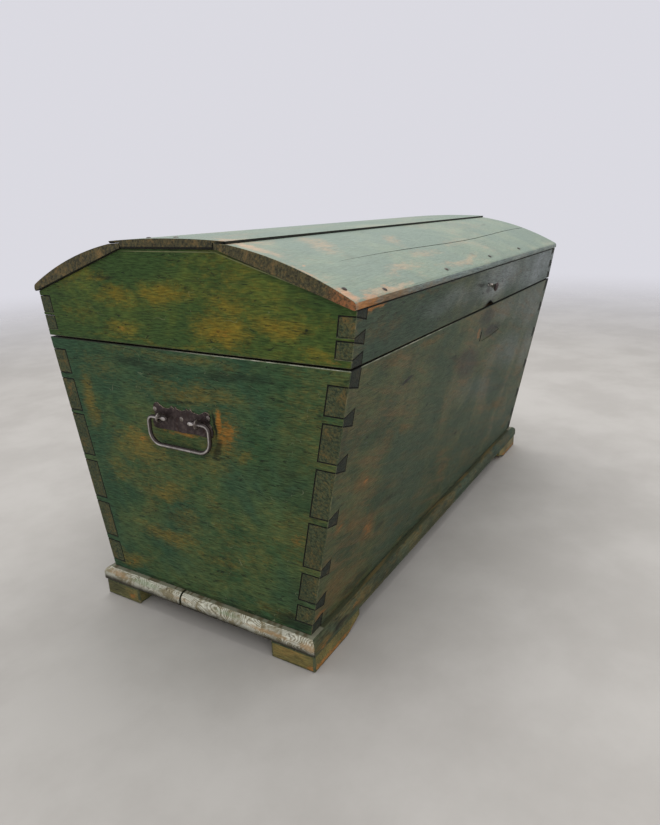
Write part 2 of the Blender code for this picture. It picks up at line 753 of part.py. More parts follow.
def lid_boards(root):
    """Three boards over the gables: the top one laps over both slope boards."""
    reach = HALF_LENGTH + BOARD_END_OVERHANG
    boards = {}
    for name, side, eave_y in (
        ("lid_front_slope_board", -1, FRONT_EAVE_Y),
        ("lid_back_slope_board", 1, BACK_EAVE_Y),
    ):
        section = slope_section(side, eave_y)
        boards[name] = lengthwise(
            name, section, -reach, reach, PINE_MINT, root,
            edges=(0, len(section) - 1), radius=EAVE_EDGE_RADIUS,
        )
    boards["lid_top_board"] = lengthwise("lid_top_board", top_section(), -reach, reach, PINE_MINT, root)
    cut(boards["lid_front_slope_board"], shake_cutter(root))
    return boards


def lid_nails(boards, front_rail, left_gable, root):
    """Nails through the lid boards into the front rail and the left gable."""
    front_spots = [
        slope_point(HALF_LENGTH * share, upslope)
        for share, upslope in zip(FRONT_NAIL_SHARES, FRONT_NAIL_UPSLOPES)
    ]
    top_spots = [top_point(TOP_NAIL_INSET - HALF_LENGTH, y) for y in TOP_NAIL_YS]
    pieces = []
    for row, spots, board in (
        ("front", front_spots, boards["lid_front_slope_board"]),
        ("top", top_spots, boards["lid_top_board"]),
    ):
        holes = nail_holes(f"lid_{row}_nail_holes", spots, NAIL_LENGTH, root)
        cut(board, holes)
        cut(left_gable, holes)
        if row == "front":
            cut(front_rail, holes)
        for i, (point, normal) in enumerate(spots):
            pieces.append(nail(f"lid_{row}_nail_{i + 1}", point, normal, NAIL_LENGTH, root))
    return pieces


def knob(front_rail, root):
    """A turned iron knob on a tenon in the lid's front rail, sagging a little in its hole."""
    outward = Vector((0, -math.cos(KNOB_ANGLE), -math.sin(KNOB_ANGLE)))
    seat = Vector((KNOB_X, -lid_face(KNOB_Z), KNOB_Z))
    seat_gap = CLEARANCE + KNOB_NECK_RADIUS * math.tan(KNOB_DROOP)
    profile = [
        (0, -KNOB_TENON_LENGTH),
        (KNOB_TENON_RADIUS, -KNOB_TENON_LENGTH),
        (KNOB_TENON_RADIUS, seat_gap),
        (KNOB_NECK_RADIUS, seat_gap),
        (KNOB_NECK_RADIUS * KNOB_WAIST_SHARE, KNOB_LENGTH * KNOB_WAIST_AT_SHARE),
        (KNOB_NECK_RADIUS, KNOB_LENGTH - 2 * KNOB_HEAD_THICKNESS),
        (KNOB_HEAD_RADIUS, KNOB_LENGTH - KNOB_HEAD_THICKNESS),
        (KNOB_HEAD_RADIUS, KNOB_LENGTH - KNOB_HEAD_THICKNESS / 2),
        (KNOB_HEAD_RADIUS * KNOB_DOME_SHARE, KNOB_LENGTH),
        (0, KNOB_LENGTH),
    ]
    piece = turned("lid_knob", profile, KNOB_SIDES, frame_at(seat, outward), BRIGHT_IRON, root)
    cut(front_rail, drill(
        "knob_hole", [(seat, outward)],
        KNOB_TENON_RADIUS + CLEARANCE, KNOB_TENON_LENGTH + CLEARANCE, root, KNOB_SIDES,
    ))
    return piece


def chip(front_rail, root):
    """The splinter missing from the lid's lower front edge."""
    corners = [
        (CHIP_LEFT_X, LID_BOTTOM - OVERRUN), (CHIP_LEFT_X, LID_BOTTOM),
        (CHIP_PEAK_X, LID_BOTTOM + CHIP_HEIGHT),
        (CHIP_RIGHT_X, LID_BOTTOM), (CHIP_RIGHT_X, LID_BOTTOM - OVERRUN),
    ]
    cut(front_rail, slab(
        "lid_chip_cutter", corners,
        lambda z: -(lid_face(z) + OVERRUN),
        lambda z: -(lid_face(z) - LID_SIDE_THICKNESS * CHIP_DEPTH_SHARE),
        None, root,
    ))


def knuckles(name, spans, radius, centre, parent, finish=None):
    """Coaxial cylinders along X, one for each (low x, high x)."""
    work = bmesh.new()
    for low, high in spans:
        place = frame_at(centre + Vector((low, 0, 0)), (1, 0, 0))
        add_turned(work, [(radius, 0), (radius, high - low)], KNUCKLE_SIDES, place)
    return finished(name, work, finish, parent)


def mirrored(half):
    """A symmetric outline from its right half; a point on the middle line is not repeated."""
    return half + [(-x, z) for x, z in reversed(half) if x > 0]


def strap_leaf(word, axis, middle, outer, root):
    """The leaf on the back board: a long strap with a leaf-shaped end, under two knuckles."""
    relief = KNUCKLE_RADIUS + 2 * CLEARANCE
    half = [(middle + CLEARANCE, HINGE_Z - relief), (middle + CLEARANCE, HINGE_Z), (outer, HINGE_Z)]
    half += [
        (outer * width, HINGE_Z - relief - STRAP_LENGTH * down)
        for down, width in STRAP_HALF_WIDTH_SHARES
    ]
    leaf = slab(
        f"{word}_hinge_strap", [(axis.x + a, z) for a, z in mirrored(half)],
        lambda z: body_face(z) + CLEARANCE,
        lambda z: body_face(z) + CLEARANCE + HINGE_PLATE,
        WROUGHT_IRON, root,
    )
    spans = [(-outer, -middle - CLEARANCE), (middle + CLEARANCE, outer)]
    cut(leaf, knuckles(f"{word}_strap_knuckles", spans, KNUCKLE_RADIUS, axis, root), "UNION")
    return leaf


def lid_leaf(word, axis, middle, root):
    """The leaf on the lid's back rail, with the middle knuckle."""
    relief = KNUCKLE_RADIUS + 2 * CLEARANCE
    half = [(middle, HINGE_Z), (middle, HINGE_Z + relief)]
    half += [
        (LID_LEAF_WIDTH / 2 * width, HINGE_Z + relief + LID_LEAF_LENGTH * up)
        for up, width in LID_LEAF_HALF_WIDTH_SHARES
    ]
    leaf = slab(
        f"{word}_hinge_lid_leaf", [(axis.x + a, z) for a, z in mirrored(half)],
        lambda z: lid_face(z) + CLEARANCE,
        lambda z: lid_face(z) + CLEARANCE + HINGE_PLATE,
        WROUGHT_IRON, root,
    )
    barrel = knuckles(f"{word}_lid_knuckle", [(-middle, middle)], KNUCKLE_RADIUS, axis, root)
    cut(leaf, barrel, "UNION")
    return leaf


def hinge_nails(word, part, spots, leaf, board, root):
    """Nails through a leaf into its board."""
    holes = nail_holes(f"{word}_{part}_nail_holes", spots, TACK_LENGTH, root)
    cut(board, holes)
    cut(leaf, holes)
    return [
        nail(f"{word}_{part}_nail_{i + 1}", point, normal, TACK_LENGTH, root)
        for i, (point, normal) in enumerate(spots)
    ]


def hinge(word, x, back_board, back_rail, root):
    """A forged strap hinge: a leaf on the body, a leaf on the lid, and a pin. Returns what moves."""
    axis = Vector((x, HINGE_Y, HINGE_Z))
    middle = MIDDLE_KNUCKLE / 2
    outer = middle + OUTER_KNUCKLE
    fixed = strap_leaf(word, axis, middle, outer, root)
    moving = lid_leaf(word, axis, middle, root)
    bore = knuckles(
        f"{word}_hinge_bore", [(-outer - OVERRUN, outer + OVERRUN)],
        HINGE_PIN_RADIUS + RUNNING_CLEARANCE, axis, root,
    )
    cut(fixed, bore)
    cut(moving, bore)

    # The pin, its ends hammered over
    head = outer + CLEARANCE
    end = (HINGE_PIN_HEAD * PIN_DOME_SHARE, head + HINGE_PIN_HEAD_LENGTH)
    half = [(HINGE_PIN_RADIUS, head), (HINGE_PIN_HEAD, head), end]
    profile = [(radius, -height) for radius, height in reversed(half)] + half
    turned(f"{word}_hinge_pin", profile, KNUCKLE_SIDES, frame_at(axis, (1, 0, 0)), WROUGHT_IRON, root)

    down = Vector((0, math.cos(BODY_LEAN_ANGLE), -math.sin(BODY_LEAN_ANGLE)))
    strap_spots = []
    for drop in STRAP_NAIL_DROPS:
        z = HINGE_Z - drop
        strap_spots.append((Vector((x, body_face(z) + CLEARANCE, z)) + down * HINGE_PLATE, down))
    hinge_nails(word, "strap", strap_spots, fixed, back_board, root)

    up = Vector((0, math.cos(LID_LEAN_ANGLE), -math.sin(LID_LEAN_ANGLE)))
    z = HINGE_Z + LID_LEAF_NAIL_RISE
    leaf_spots = [
        (Vector((x + way * LID_LEAF_NAIL_SPREAD, lid_face(z) + CLEARANCE, z)) + up * HINGE_PLATE, up)
        for way in (-1, 1)
    ]
    return [moving] + hinge_nails(word, "leaf", leaf_spots, moving, back_rail, root)


def plate_outline():
    """The handle plate's outline on Y and Z, round the middle of the eyes' line."""
    half_width = PLATE_WIDTH / 2
    half = [(half_width * a, PLATE_ABOVE * b) for a, b in PLATE_TOP_SHARES]
    half += [(half_width * a, PLATE_BELOW * b) for a, b in PLATE_SIDE_SHARES + PLATE_LOW_SHARES]
    # The smith left one ear lower than the other
    return [
        (y, z * LOW_EAR_SHARE if z > 0 and y > half_width / 2 else z) for y, z in mirrored(half)
    ]


def quarter(centre, radius, start, turn, steps):
    """Points round part of a circle on Y and Z; angles in quarter turns."""
    return [
        (
            centre[0] + radius * math.cos((start + turn * i / steps) * math.pi / 2),
            centre[1] + radius * math.sin((start + turn * i / steps) * math.pi / 2),
        )
        for i in range(steps + 1)
    ]


def bail_route():
    """The bail's centreline on Y and Z round the eyes' line, with the rod's swell at each point."""
    half = BAIL_WIDTH / 2
    tip = EYE_SPACING / 2 - BAIL_TIP_INSIDE
    route = [(tip + BAIL_TIP_INSIDE * along, 0, swell) for along, swell in BAIL_TIP_SWELL_SHARES]
    corner = quarter((half - BAIL_HIGH_CORNER, -BAIL_HIGH_CORNER), BAIL_HIGH_CORNER, 1, -1, 4)
    corner += quarter((half - BAIL_LOW_CORNER, -BAIL_DROP + BAIL_LOW_CORNER), BAIL_LOW_CORNER, 0, -1, 6)
    route.append((EYE_SPACING / 2, 0, 1.0))
    route += [(y, z, 1.0) for y, z in corner]
    return route + [(-y, z, swell) for y, z, swell in reversed(route)]


def bail(word, ring_x, frame):
    """The drop handle: one rod bent to a stirrup, its swelled tips turned in through the eyes."""
    curve = bpy.data.curves.new(f"{word}_bail", "CURVE")
    curve.dimensions = "3D"
    curve.bevel_depth = BAIL_RADIUS
    curve.bevel_resolution = 3
    curve.use_fill_caps = True
    curve.materials.append(material(WROUGHT_IRON))
    spline = curve.splines.new("POLY")
    route = bail_route()
    spline.points.add(len(route) - 1)
    for point, (y, z, swell) in zip(spline.points, route):
        point.co = (0, y, z, 1)
        point.radius = swell
    made = bpy.data.objects.new(f"{word}_bail", curve)
    made.location = (ring_x, 0, 0)
    made.parent = frame
    bpy.context.scene.collection.objects.link(made)


def add_rows(work, rows, closed):
    """Skins a row of rings, and joins the last to the first or closes both ends."""
    joined = rows + rows[:1] if closed else rows
    for row, after in zip(joined, joined[1:]):
        for j in range(len(row)):
            k = (j + 1) % len(row)
            work.faces.new((row[j], row[k], after[k], after[j]))
    if not closed:
        work.faces.new(rows[0])
        work.faces.new(rows[-1])


def around(work, centre, first, second, radius):
    """One ring of vertices on the ellipse that two half axes span."""
    ring = []
    for j in range(WIRE_SIDES):
        a = 2 * math.pi * (j + 1 / 2) / WIRE_SIDES
        ring.append(work.verts.new(centre + radius * (first * math.cos(a) + second * math.sin(a))))
    return ring


def eye(name, y, ring_x, frame):
    """A ring on a shank that passes through plate and board and is bent over inside."""
    across = Vector((0, 1, 0))
    ring_radius = EYE_BORE_RADIUS + EYE_WIRE_RADIUS
    work = bmesh.new()
    rows = []
    for i in range(RING_STEPS):
        a = 2 * math.pi * (i + 1 / 2) / RING_STEPS
        spoke = Vector((math.cos(a), 0, math.sin(a)))
        centre = Vector((ring_x, y, 0)) + spoke * ring_radius
        rows.append(around(work, centre, spoke, across, EYE_WIRE_RADIUS))
    add_rows(work, rows, closed=True)
    ring = finished(name, work, WROUGHT_IRON, frame)

    bend_x = -END_THICKNESS - EYE_SHANK_RADIUS - CLEARANCE
    start_x = ring_x - ring_radius - EYE_WIRE_RADIUS / 4
    work = bmesh.new()
    rows = [
        around(work, centre, up, across, EYE_SHANK_RADIUS)
        for centre, up in (
            (Vector((start_x, y, 0)), Vector((0, 0, 1))),
            (Vector((bend_x, y, 0)), Vector((1, 0, 1))),
            (Vector((bend_x, y, -EYE_CLINCH_LENGTH)), Vector((1, 0, 0))),
        )
    ]
    add_rows(work, rows, closed=False)
    cut(ring, finished(f"{name}_shank", work, None, frame), "UNION")


def handle(word, end, panel, root):
    """A plate, two eyes and a bail on one end, built with x pointing out of the end board."""
    turn = 0 if end > 0 else math.pi
    frame = empty(f"{word}_handle_frame", (end * HALF_LENGTH, HANDLE_Y, HANDLE_Z), root, (0, 0, turn))
    outer = CLEARANCE + PLATE_THICKNESS
    ring_x = outer + CLEARANCE + 2 * EYE_WIRE_RADIUS + EYE_BORE_RADIUS
    outline = plate_outline()
    work = bmesh.new()
    add_prism(work, [(CLEARANCE, y, z) for y, z in outline], [(outer, y, z) for y, z in outline])
    plate = finished(f"{word}_handle_plate", work, WROUGHT_IRON, frame)
    outward = Vector((1, 0, 0))
    eyes = [-EYE_SPACING / 2, EYE_SPACING / 2]
    through = END_THICKNESS + outer + OVERRUN
    shank_holes = drill(
        f"{word}_eye_holes", [(Vector((outer, y, 0)), outward) for y in eyes],
        EYE_SHANK_RADIUS + 2 * CLEARANCE, through, frame, 2 * NAIL_SIDES,
    )
    spots = [
        (Vector((outer, y, z)), outward)
        for y, z in ((-PLATE_NAIL_SPREAD, PLATE_NAIL_RISE), (0, 0), (PLATE_NAIL_SPREAD, PLATE_NAIL_RISE))
    ]
    tack_holes = nail_holes(f"{word}_plate_nail_holes", spots, TACK_LENGTH, frame)
    for holes in (shank_holes, tack_holes):
        cut(plate, holes)
        cut(panel, holes)
    for i, (point, normal) in enumerate(spots):
        nail(f"{word}_plate_nail_{i + 1}", point, normal, TACK_LENGTH, frame)
    for i, y in enumerate(eyes):
        eye(f"{word}_handle_eye_{i + 1}", y, ring_x, frame)
    bail(word, ring_x, frame)


def keyhole_outline():
    """A slot with round ends, on X and on the height up the board."""
    radius = KEYHOLE_WIDTH / 2
    straight = KEYHOLE_HEIGHT / 2 - radius
    return quarter((0, straight), radius, 0, 2, 6) + quarter((0, -straight), radius, 2, 2, 6)


def block_cutter(name, blocks, parent):
    """A cutter made of blocks, each given by its lowest and highest corner."""
    work = bmesh.new()
    for low, high in blocks:
        add_block(work, low, high)
    return finished(name, work, None, parent)


def keyhole(front_board, frame, root):
    """The slot for the key, and the shallow hollow that keys have worn beside it."""
    hole = keyhole_outline()
    work = bmesh.new()
    add_prism(
        work,
        [(x, -SIDE_THICKNESS - OVERRUN, z) for x, z in hole],
        [(x, OVERRUN, z) for x, z in hole],
    )
    cut(front_board, finished("keyhole_cutter", work, None, frame))
    low = KEYHOLE_Z - HOLLOW_BELOW_KEYHOLE
    hollow = [
        (HOLLOW_LEFT_X + HOLLOW_WIDTH * across, low + HOLLOW_HEIGHT * up)
        for across, up in HOLLOW_OUTLINE_SHARES
    ]
    cut(front_board, slab(
        "worn_hollow_cutter", hollow,
        lambda z: -(body_face(z) + OVERRUN),
        lambda z: -(body_face(z) - HOLLOW_DEPTH),
        None, root,
    ))


def lock_case(front_board, frame):
    """A box open towards the board, with two guides for the bolt inside and two nailed ears."""
    work = bmesh.new()
    add_block(work, (-LOCK_LEFT, CLEARANCE, -LOCK_BELOW), (LOCK_RIGHT, LOCK_DEPTH, LOCK_ABOVE))
    case = finished("lock_case", work, WROUGHT_IRON, frame)
    cavity = (
        (-LOCK_LEFT + LOCK_WALL, -OVERRUN, -LOCK_BELOW + LOCK_WALL),
        (LOCK_RIGHT - LOCK_WALL, LOCK_DEPTH - LOCK_WALL, LOCK_ABOVE - LOCK_WALL),
    )
    cut(case, block_cutter("lock_cavity", [cavity], frame))

    sunk = LOCK_WALL / 2
    tail_guide = -BOLT_TAIL + GUIDE_TAIL_INSET
    nose_guide = BOLT_NOSE - BOLT_NOSE_GAP - 2 * GUIDE_WIDTH
    added = [
        (
            (low, BOLT_FRONT - GUIDE_RIM, BOLT_LOW - GUIDE_RIM),
            (low + GUIDE_WIDTH, LOCK_DEPTH - sunk, BOLT_HIGH + GUIDE_RIM),
        )
        for low in (tail_guide, nose_guide)
    ]
    added += [
        ((low, CLEARANCE, -LOCK_EAR_HEIGHT / 2), (high, CLEARANCE + LOCK_WALL, LOCK_EAR_HEIGHT / 2))
        for low, high in (
            (-LOCK_LEFT - LOCK_EAR, -LOCK_LEFT + sunk),
            (LOCK_RIGHT - sunk, LOCK_RIGHT + LOCK_EAR),
        )
    ]
    cut(case, block_cutter("lock_guides_and_ears", added, frame), "UNION")

    channel = (
        (-LOCK_LEFT + LOCK_WALL + CLEARANCE, BOLT_FRONT - CLEARANCE, BOLT_LOW - CLEARANCE),
        (BOLT_NOSE, BOLT_BACK + CLEARANCE, BOLT_HIGH + CLEARANCE),
    )
    slot = (
        (STAPLE_LEFT - STAPLE_SLOT_SLACK, -OVERRUN, LOCK_ABOVE - LOCK_WALL - CLEARANCE),
        (STAPLE_RIGHT + STAPLE_SLOT_SLACK, STAPLE_BACK + STAPLE_SWING_ROOM, LOCK_ABOVE + OVERRUN),
    )
    cut(case, block_cutter("lock_channel_and_slot", [channel, slot], frame))

    inward = Vector((0, 1, 0))
    spots = [
        (Vector((x, CLEARANCE + LOCK_WALL, 0)), inward)
        for x in (-LOCK_LEFT - LOCK_EAR / 2, LOCK_RIGHT + LOCK_EAR / 2)
    ]
    holes = nail_holes("lock_nail_holes", spots, TACK_LENGTH, frame)
    cut(case, holes)
    cut(front_board, holes)
    for i, (point, normal) in enumerate(spots):
        nail(f"lock_nail_{i + 1}", point, normal, TACK_LENGTH, frame)


def lock_bolt(frame):
    """The bolt, drawn back so that the lid is free, with the notch that the key turns in."""
    notch_top = BOLT_LOW + TALON_DEPTH
    outline = [
        (-BOLT_TAIL, BOLT_LOW),
        (-TALON_WIDTH / 2, BOLT_LOW), (-TALON_WIDTH / 2, notch_top),
        (TALON_WIDTH / 2, notch_top), (TALON_WIDTH / 2, BOLT_LOW),
        (BOLT_NOSE - BOLT_WIDTH / 4, BOLT_LOW), (BOLT_NOSE, BOLT_LOW + BOLT_WIDTH / 4),
        (BOLT_NOSE, BOLT_HIGH), (-BOLT_TAIL, BOLT_HIGH),
    ]
    slab("lock_bolt", outline, lambda z: BOLT_FRONT, lambda z: BOLT_BACK, BRIGHT_IRON, frame)


def lock_staple(frame, root):
    """The iron on the lid that drops into the lock: a plate, an arm and a loop for the bolt."""
    place = frame.matrix_basis
    plate_low = LID_BOTTOM + STAPLE_PLATE_SILL
    arm_z = plate_low + STAPLE_ARM_HEIGHT
    arm = place.inverted() @ Vector((0, LID_SIDE_THICKNESS - lid_face(arm_z), arm_z))
    arm_low = arm.z - STAPLE_ARM_HEIGHT / 2
    arm_high = arm.z + STAPLE_ARM_HEIGHT / 2
    arm_y = arm.y + CLEARANCE + STAPLE_PLATE_THICKNESS / 2
    loop_low = STAPLE_HOLE_LOW - STAPLE_BAR
    outline = [
        (STAPLE_FRONT, loop_low), (STAPLE_BACK, loop_low), (STAPLE_BACK, arm_high),
        (arm_y, arm_high), (arm_y, arm_low), (STAPLE_FRONT, arm_low),
    ]
    hole_high = STAPLE_HOLE_LOW + STAPLE_HOLE_HEIGHT
    hole = [
        (STAPLE_FRONT + STAPLE_BAR, STAPLE_HOLE_LOW), (STAPLE_BACK - STAPLE_BAR, STAPLE_HOLE_LOW),
        (STAPLE_BACK - STAPLE_BAR, hole_high), (STAPLE_FRONT + STAPLE_BAR, hole_high),
    ]
    pieces = []
    for name, section, beyond, finish in (
        ("lock_staple", outline, 0, WROUGHT_IRON),
        ("staple_hole", hole, OVERRUN, None),
    ):
        work = bmesh.new()
        add_prism(
            work,
            [place @ Vector((STAPLE_LEFT - beyond, y, z)) for y, z in section],
            [place @ Vector((STAPLE_RIGHT + beyond, y, z)) for y, z in section],
        )
        pieces.append(finished(name, work, finish, root))
    loop, hole_cutter = pieces
    cut(loop, hole_cutter)

    middle = KEYHOLE_X + STAPLE_X
    plate_high = plate_low + STAPLE_PLATE_HEIGHT
    low_x = middle - STAPLE_PLATE_WIDTH / 2
    high_x = middle + STAPLE_PLATE_WIDTH / 2
    corners = [(low_x, plate_low), (high_x, plate_low), (high_x, plate_high), (low_x, plate_high)]
    cut(loop, slab(
        "staple_plate", corners,
        lambda z: -(lid_face(z) - LID_SIDE_THICKNESS - CLEARANCE),
        lambda z: -(lid_face(z) - LID_SIDE_THICKNESS - CLEARANCE - STAPLE_PLATE_THICKNESS),
        None, root,
    ), "UNION")
    return loop


def main():
    clear_scene()
    # The bounding box ends at the knob in front and at the back eave, so half their
    # difference puts the origin under the middle of the whole trunk
    root = empty("trunk", (0, -(KNOB_FRONT_Y + BACK_EAVE_Y) / 2, 0))
    lid_axis = empty("lid_hinge_axis", (0, HINGE_Y, HINGE_Z), root)
    walls = body_walls(root)
    floor_planks(root)
    feet(root)
    front_rail, back_rail, gables = lid_frame(root)
    boards = lid_boards(root)
    lid_pieces = [front_rail, back_rail, *gables, *boards.values()]
    lid_pieces += lid_nails(boards, front_rail, gables[0], root)
    lid_pieces.append(knob(front_rail, root))
    chip(front_rail, root)
    for word, end in (("left", -1), ("right", 1)):
        x = end * HALF_LENGTH * HINGE_SHARE
        lid_pieces += hinge(word, x, walls["back_board"], back_rail, root)
    handle("left", -1, walls["left_end_board"], root)
    handle("right", 1, walls["right_end_board"], root)
    keyhole_y = -(body_face(KEYHOLE_Z) - SIDE_THICKNESS)
    lock_frame = empty("lock_frame", (KEYHOLE_X, keyhole_y, KEYHOLE_Z), root, (BODY_LEAN_ANGLE, 0, 0))
    keyhole(walls["front_board"], lock_frame, root)
    lock_case(walls["front_board"], lock_frame)
    lock_bolt(lock_frame)
    lid_pieces.append(lock_staple(lock_frame, root))
    for piece in lid_pieces:
        hang(piece, lid_axis)


main()
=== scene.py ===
# %% [markdown]
# # A painted trunk
# The real trunk is pine, dovetailed at every corner, and painted green long ago. Hands, floors
# and damp have rubbed the paint through to an ochre undercoat and, in places, to bare orange
# wood. Its solids come ready from the CAD model. This script dresses them: it eases their edges,
# gives every surface a finish made of nodes, and adds the small marks that time has left.

# %% Load the trunk
import json
import math

import bmesh
import bpy
from mathutils import Matrix, Vector

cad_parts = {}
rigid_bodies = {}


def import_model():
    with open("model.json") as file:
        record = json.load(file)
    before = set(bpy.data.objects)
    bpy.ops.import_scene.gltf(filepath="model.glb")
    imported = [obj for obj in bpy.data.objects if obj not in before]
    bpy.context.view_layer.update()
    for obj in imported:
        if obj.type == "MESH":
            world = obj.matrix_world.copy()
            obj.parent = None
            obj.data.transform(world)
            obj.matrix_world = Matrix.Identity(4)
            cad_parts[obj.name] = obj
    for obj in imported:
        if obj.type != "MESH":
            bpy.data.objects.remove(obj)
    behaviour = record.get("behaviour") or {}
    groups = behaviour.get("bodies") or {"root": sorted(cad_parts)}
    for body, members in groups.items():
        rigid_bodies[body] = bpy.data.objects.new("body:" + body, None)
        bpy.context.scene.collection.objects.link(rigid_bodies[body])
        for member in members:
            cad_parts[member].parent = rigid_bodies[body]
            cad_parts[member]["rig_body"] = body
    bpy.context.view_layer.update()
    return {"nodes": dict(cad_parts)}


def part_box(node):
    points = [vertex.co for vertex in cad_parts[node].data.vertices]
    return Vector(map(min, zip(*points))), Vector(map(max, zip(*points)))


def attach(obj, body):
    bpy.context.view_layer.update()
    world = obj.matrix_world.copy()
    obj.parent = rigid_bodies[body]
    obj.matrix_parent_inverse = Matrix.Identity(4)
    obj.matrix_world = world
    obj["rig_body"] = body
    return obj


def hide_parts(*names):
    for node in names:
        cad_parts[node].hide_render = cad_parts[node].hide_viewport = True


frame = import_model()
scene = bpy.context.scene

# %% [markdown]
# The camera comes first, so that every look is compared with the photograph from the same place.
# Its place was worked out from the trunk's own corners: a low stand near the left front corner,
# looking down along the length with a wide lens. Three turns typed into its panel would do, but
# a matrix sets it in one go, from the direction that it looks in and the picture's small roll.

# %% Camera
YAW = math.radians(58.63)
PITCH = math.radians(-18.10)
ROLL = math.radians(-1.82)
STAND = (-1.2548, -0.6943, 0.7060)
FILM_WIDTH_MM = 36
LENS_MM = 27.85
NEAREST = 0.02
looking = Vector((math.sin(YAW) * math.cos(PITCH), math.cos(YAW) * math.cos(PITCH), math.sin(PITCH)))
level_right = Vector((math.cos(YAW), -math.sin(YAW), 0))
level_up = level_right.cross(looking)
right = level_right * math.cos(ROLL) + level_up * math.sin(ROLL)
up = level_up * math.cos(ROLL) - level_right * math.sin(ROLL)

camera_data = bpy.data.cameras.new("photo_camera")
camera_data.sensor_width = FILM_WIDTH_MM
camera_data.lens = LENS_MM
camera_data.clip_start = NEAREST
camera = bpy.data.objects.new("photo_camera", camera_data)
turn = Matrix((right, up, -looking)).transposed().to_4x4()
camera.matrix_world = Matrix.Translation(STAND) @ turn
scene.collection.objects.link(camera)
scene.camera = camera
print("Camera looks along", [round(part, 3) for part in looking])

# %% [markdown]
# A finish is built from nodes, a few at a time. Writing out each node and link takes many lines,
# so a small class keeps the half-made material: each of its methods adds one step and gives back
# the socket that comes out of it. What is the same all over is set on the shader itself.

# %% A finish under way
class Finish:
    def __init__(self, name, roughness=0.6, metallic=0.0, gloss=0.5):
        self.material = bpy.data.materials.new(name)
        self.material.use_nodes = True
        self.tree = self.material.node_tree
        self.shader = self.tree.nodes["Principled BSDF"]
        for name, number in (("Roughness", roughness), ("Metallic", metallic), ("Specular IOR Level", gloss)):
            self.feed(self.shader.inputs[name], number)
        self.place = self.add("TexCoord").outputs["Object"]

    def feed(self, socket, value):
        """Links a socket, or types in a number or a colour."""
        if isinstance(value, bpy.types.NodeSocket):
            self.tree.links.new(value, socket)
        elif isinstance(value, tuple) and len(value) == 3 and socket.type == "RGBA":
            socket.default_value = (*value, 1)
        else:
            socket.default_value = value

    def add(self, kind, inputs=None, **settings):
        """Adds a node, and feeds the inputs that are given by name or by number."""
        node = self.tree.nodes.new("ShaderNode" + kind)
        for setting, value in settings.items():
            setattr(node, setting, value)
        for socket, value in (inputs or {}).items():
            self.feed(node.inputs[socket], value)
        return node

    def math(self, operation, a, b=0.0):
        return self.add("Math", {0: a, 1: b}, operation=operation).outputs[0]

    def times(self, a, b):
        return self.math("MULTIPLY", a, b)

    def weighed(self, *parts):
        """The sum of some values, each times its own weight."""
        total = None
        for value, weight in parts:
            part = self.times(value, weight)
            total = part if total is None else self.math("ADD", total, part)
        return total

    def axis(self, letter, where=None):
        """One of the three coordinates, on its own."""
        return self.add("SeparateXYZ", {0: self.place if where is None else where}).outputs[letter]

    def distance(self, where):
        return self.add("VectorMath", {0: where}, operation="LENGTH").outputs["Value"]

    def moved(self, where, middle=(0, 0, 0), tilt=(0, 0, 0), size=(1, 1, 1)):
        """Coordinates measured from a middle, in turned and stretched steps of that size."""
        inputs = {"Vector": where, "Location": middle, "Rotation": tilt, "Scale": size}
        return self.add("Mapping", inputs, vector_type="TEXTURE").outputs[0]

    def noise(self, where, scale, detail=3.0, rough=0.5, twist=0.0, out="Fac"):
        inputs = {"Vector": where, "Scale": scale, "Detail": detail, "Roughness": rough, "Distortion": twist}
        return self.add("TexNoise", inputs).outputs[out]

    def band(self, value, low, high, start=0.0, end=1.0):
        """Eases from start to end while the value goes from low to high."""
        inputs = {"Value": value, "From Min": low, "From Max": high, "To Min": start, "To Max": end}
        return self.add("MapRange", inputs, interpolation_type="SMOOTHSTEP").outputs[0]

    def blend(self, share, a, b, how="MIX"):
        """Colour a, and as much of colour b as the share says."""
        return self.add("Mix", {0: share, 6: a, 7: b}, data_type="RGBA", blend_type=how).outputs[2]

    def lay(self, tone, share, how="MIX"):
        """Lays a colour over what is there, as much as the share says."""
        self.colour = self.blend(share, self.colour, tone, how)

    def lay_where(self, tone, value, low, high, most=1.0):
        """Lays a colour where the value is high, eased in from low to high."""
        self.lay(tone, self.band(value, low, high, 0.0, most))

    def finished(self, roughness=None, height=None, depth=0.001):
        """Links what was made to the shader: its colour, its roughness and its bumps."""
        self.feed(self.shader.inputs["Base Color"], self.colour)
        if roughness is not None:
            self.feed(self.shader.inputs["Roughness"], roughness)
        if height is not None:
            bump = self.add("Bump", {"Strength": 1.0, "Distance": depth, "Height": height})
            self.feed(self.shader.inputs["Normal"], bump.outputs[0])
        print("Finish", self.material.name, "has", len(self.tree.nodes), "nodes")
        return self.material

# %% [markdown]
# The floor is a plain pale one, and the light is soft and even, as under a workshop ceiling. The
# floor fades out into the backdrop at its rim, so no horizon line shows behind the trunk. A real
# backdrop could stand there, but then it would colour the light. So the camera and the gloss of
# the paint see a pale colour in the world, and everything else is lit by a plain white one.

# %% Floor and light
FLOOR_RADIUS = 7.0
FADE_FROM = 1.6
FADE_TO = 5.5
BACKDROP = (0.705, 0.7, 0.755)
bpy.ops.object.select_all(action="DESELECT")
bpy.ops.mesh.primitive_circle_add(vertices=96, radius=FLOOR_RADIUS, fill_type="NGON", location=(0, 0, 0))
floor = bpy.context.object
floor.name = "studio_floor"
ground = Finish("pale_floor", roughness=0.75, gloss=0.2)
fading = ground.band(ground.distance(ground.place), FADE_FROM, FADE_TO, 1.0, 0.0)
ground.feed(ground.shader.inputs["Alpha"], fading)
speckle = ground.band(ground.noise(ground.place, 3.0, 6.0, 0.6), 0.35, 0.65)
ground.colour = ground.blend(speckle, (0.455, 0.435, 0.415), (0.52, 0.5, 0.48))
floor.data.materials.append(ground.finished())

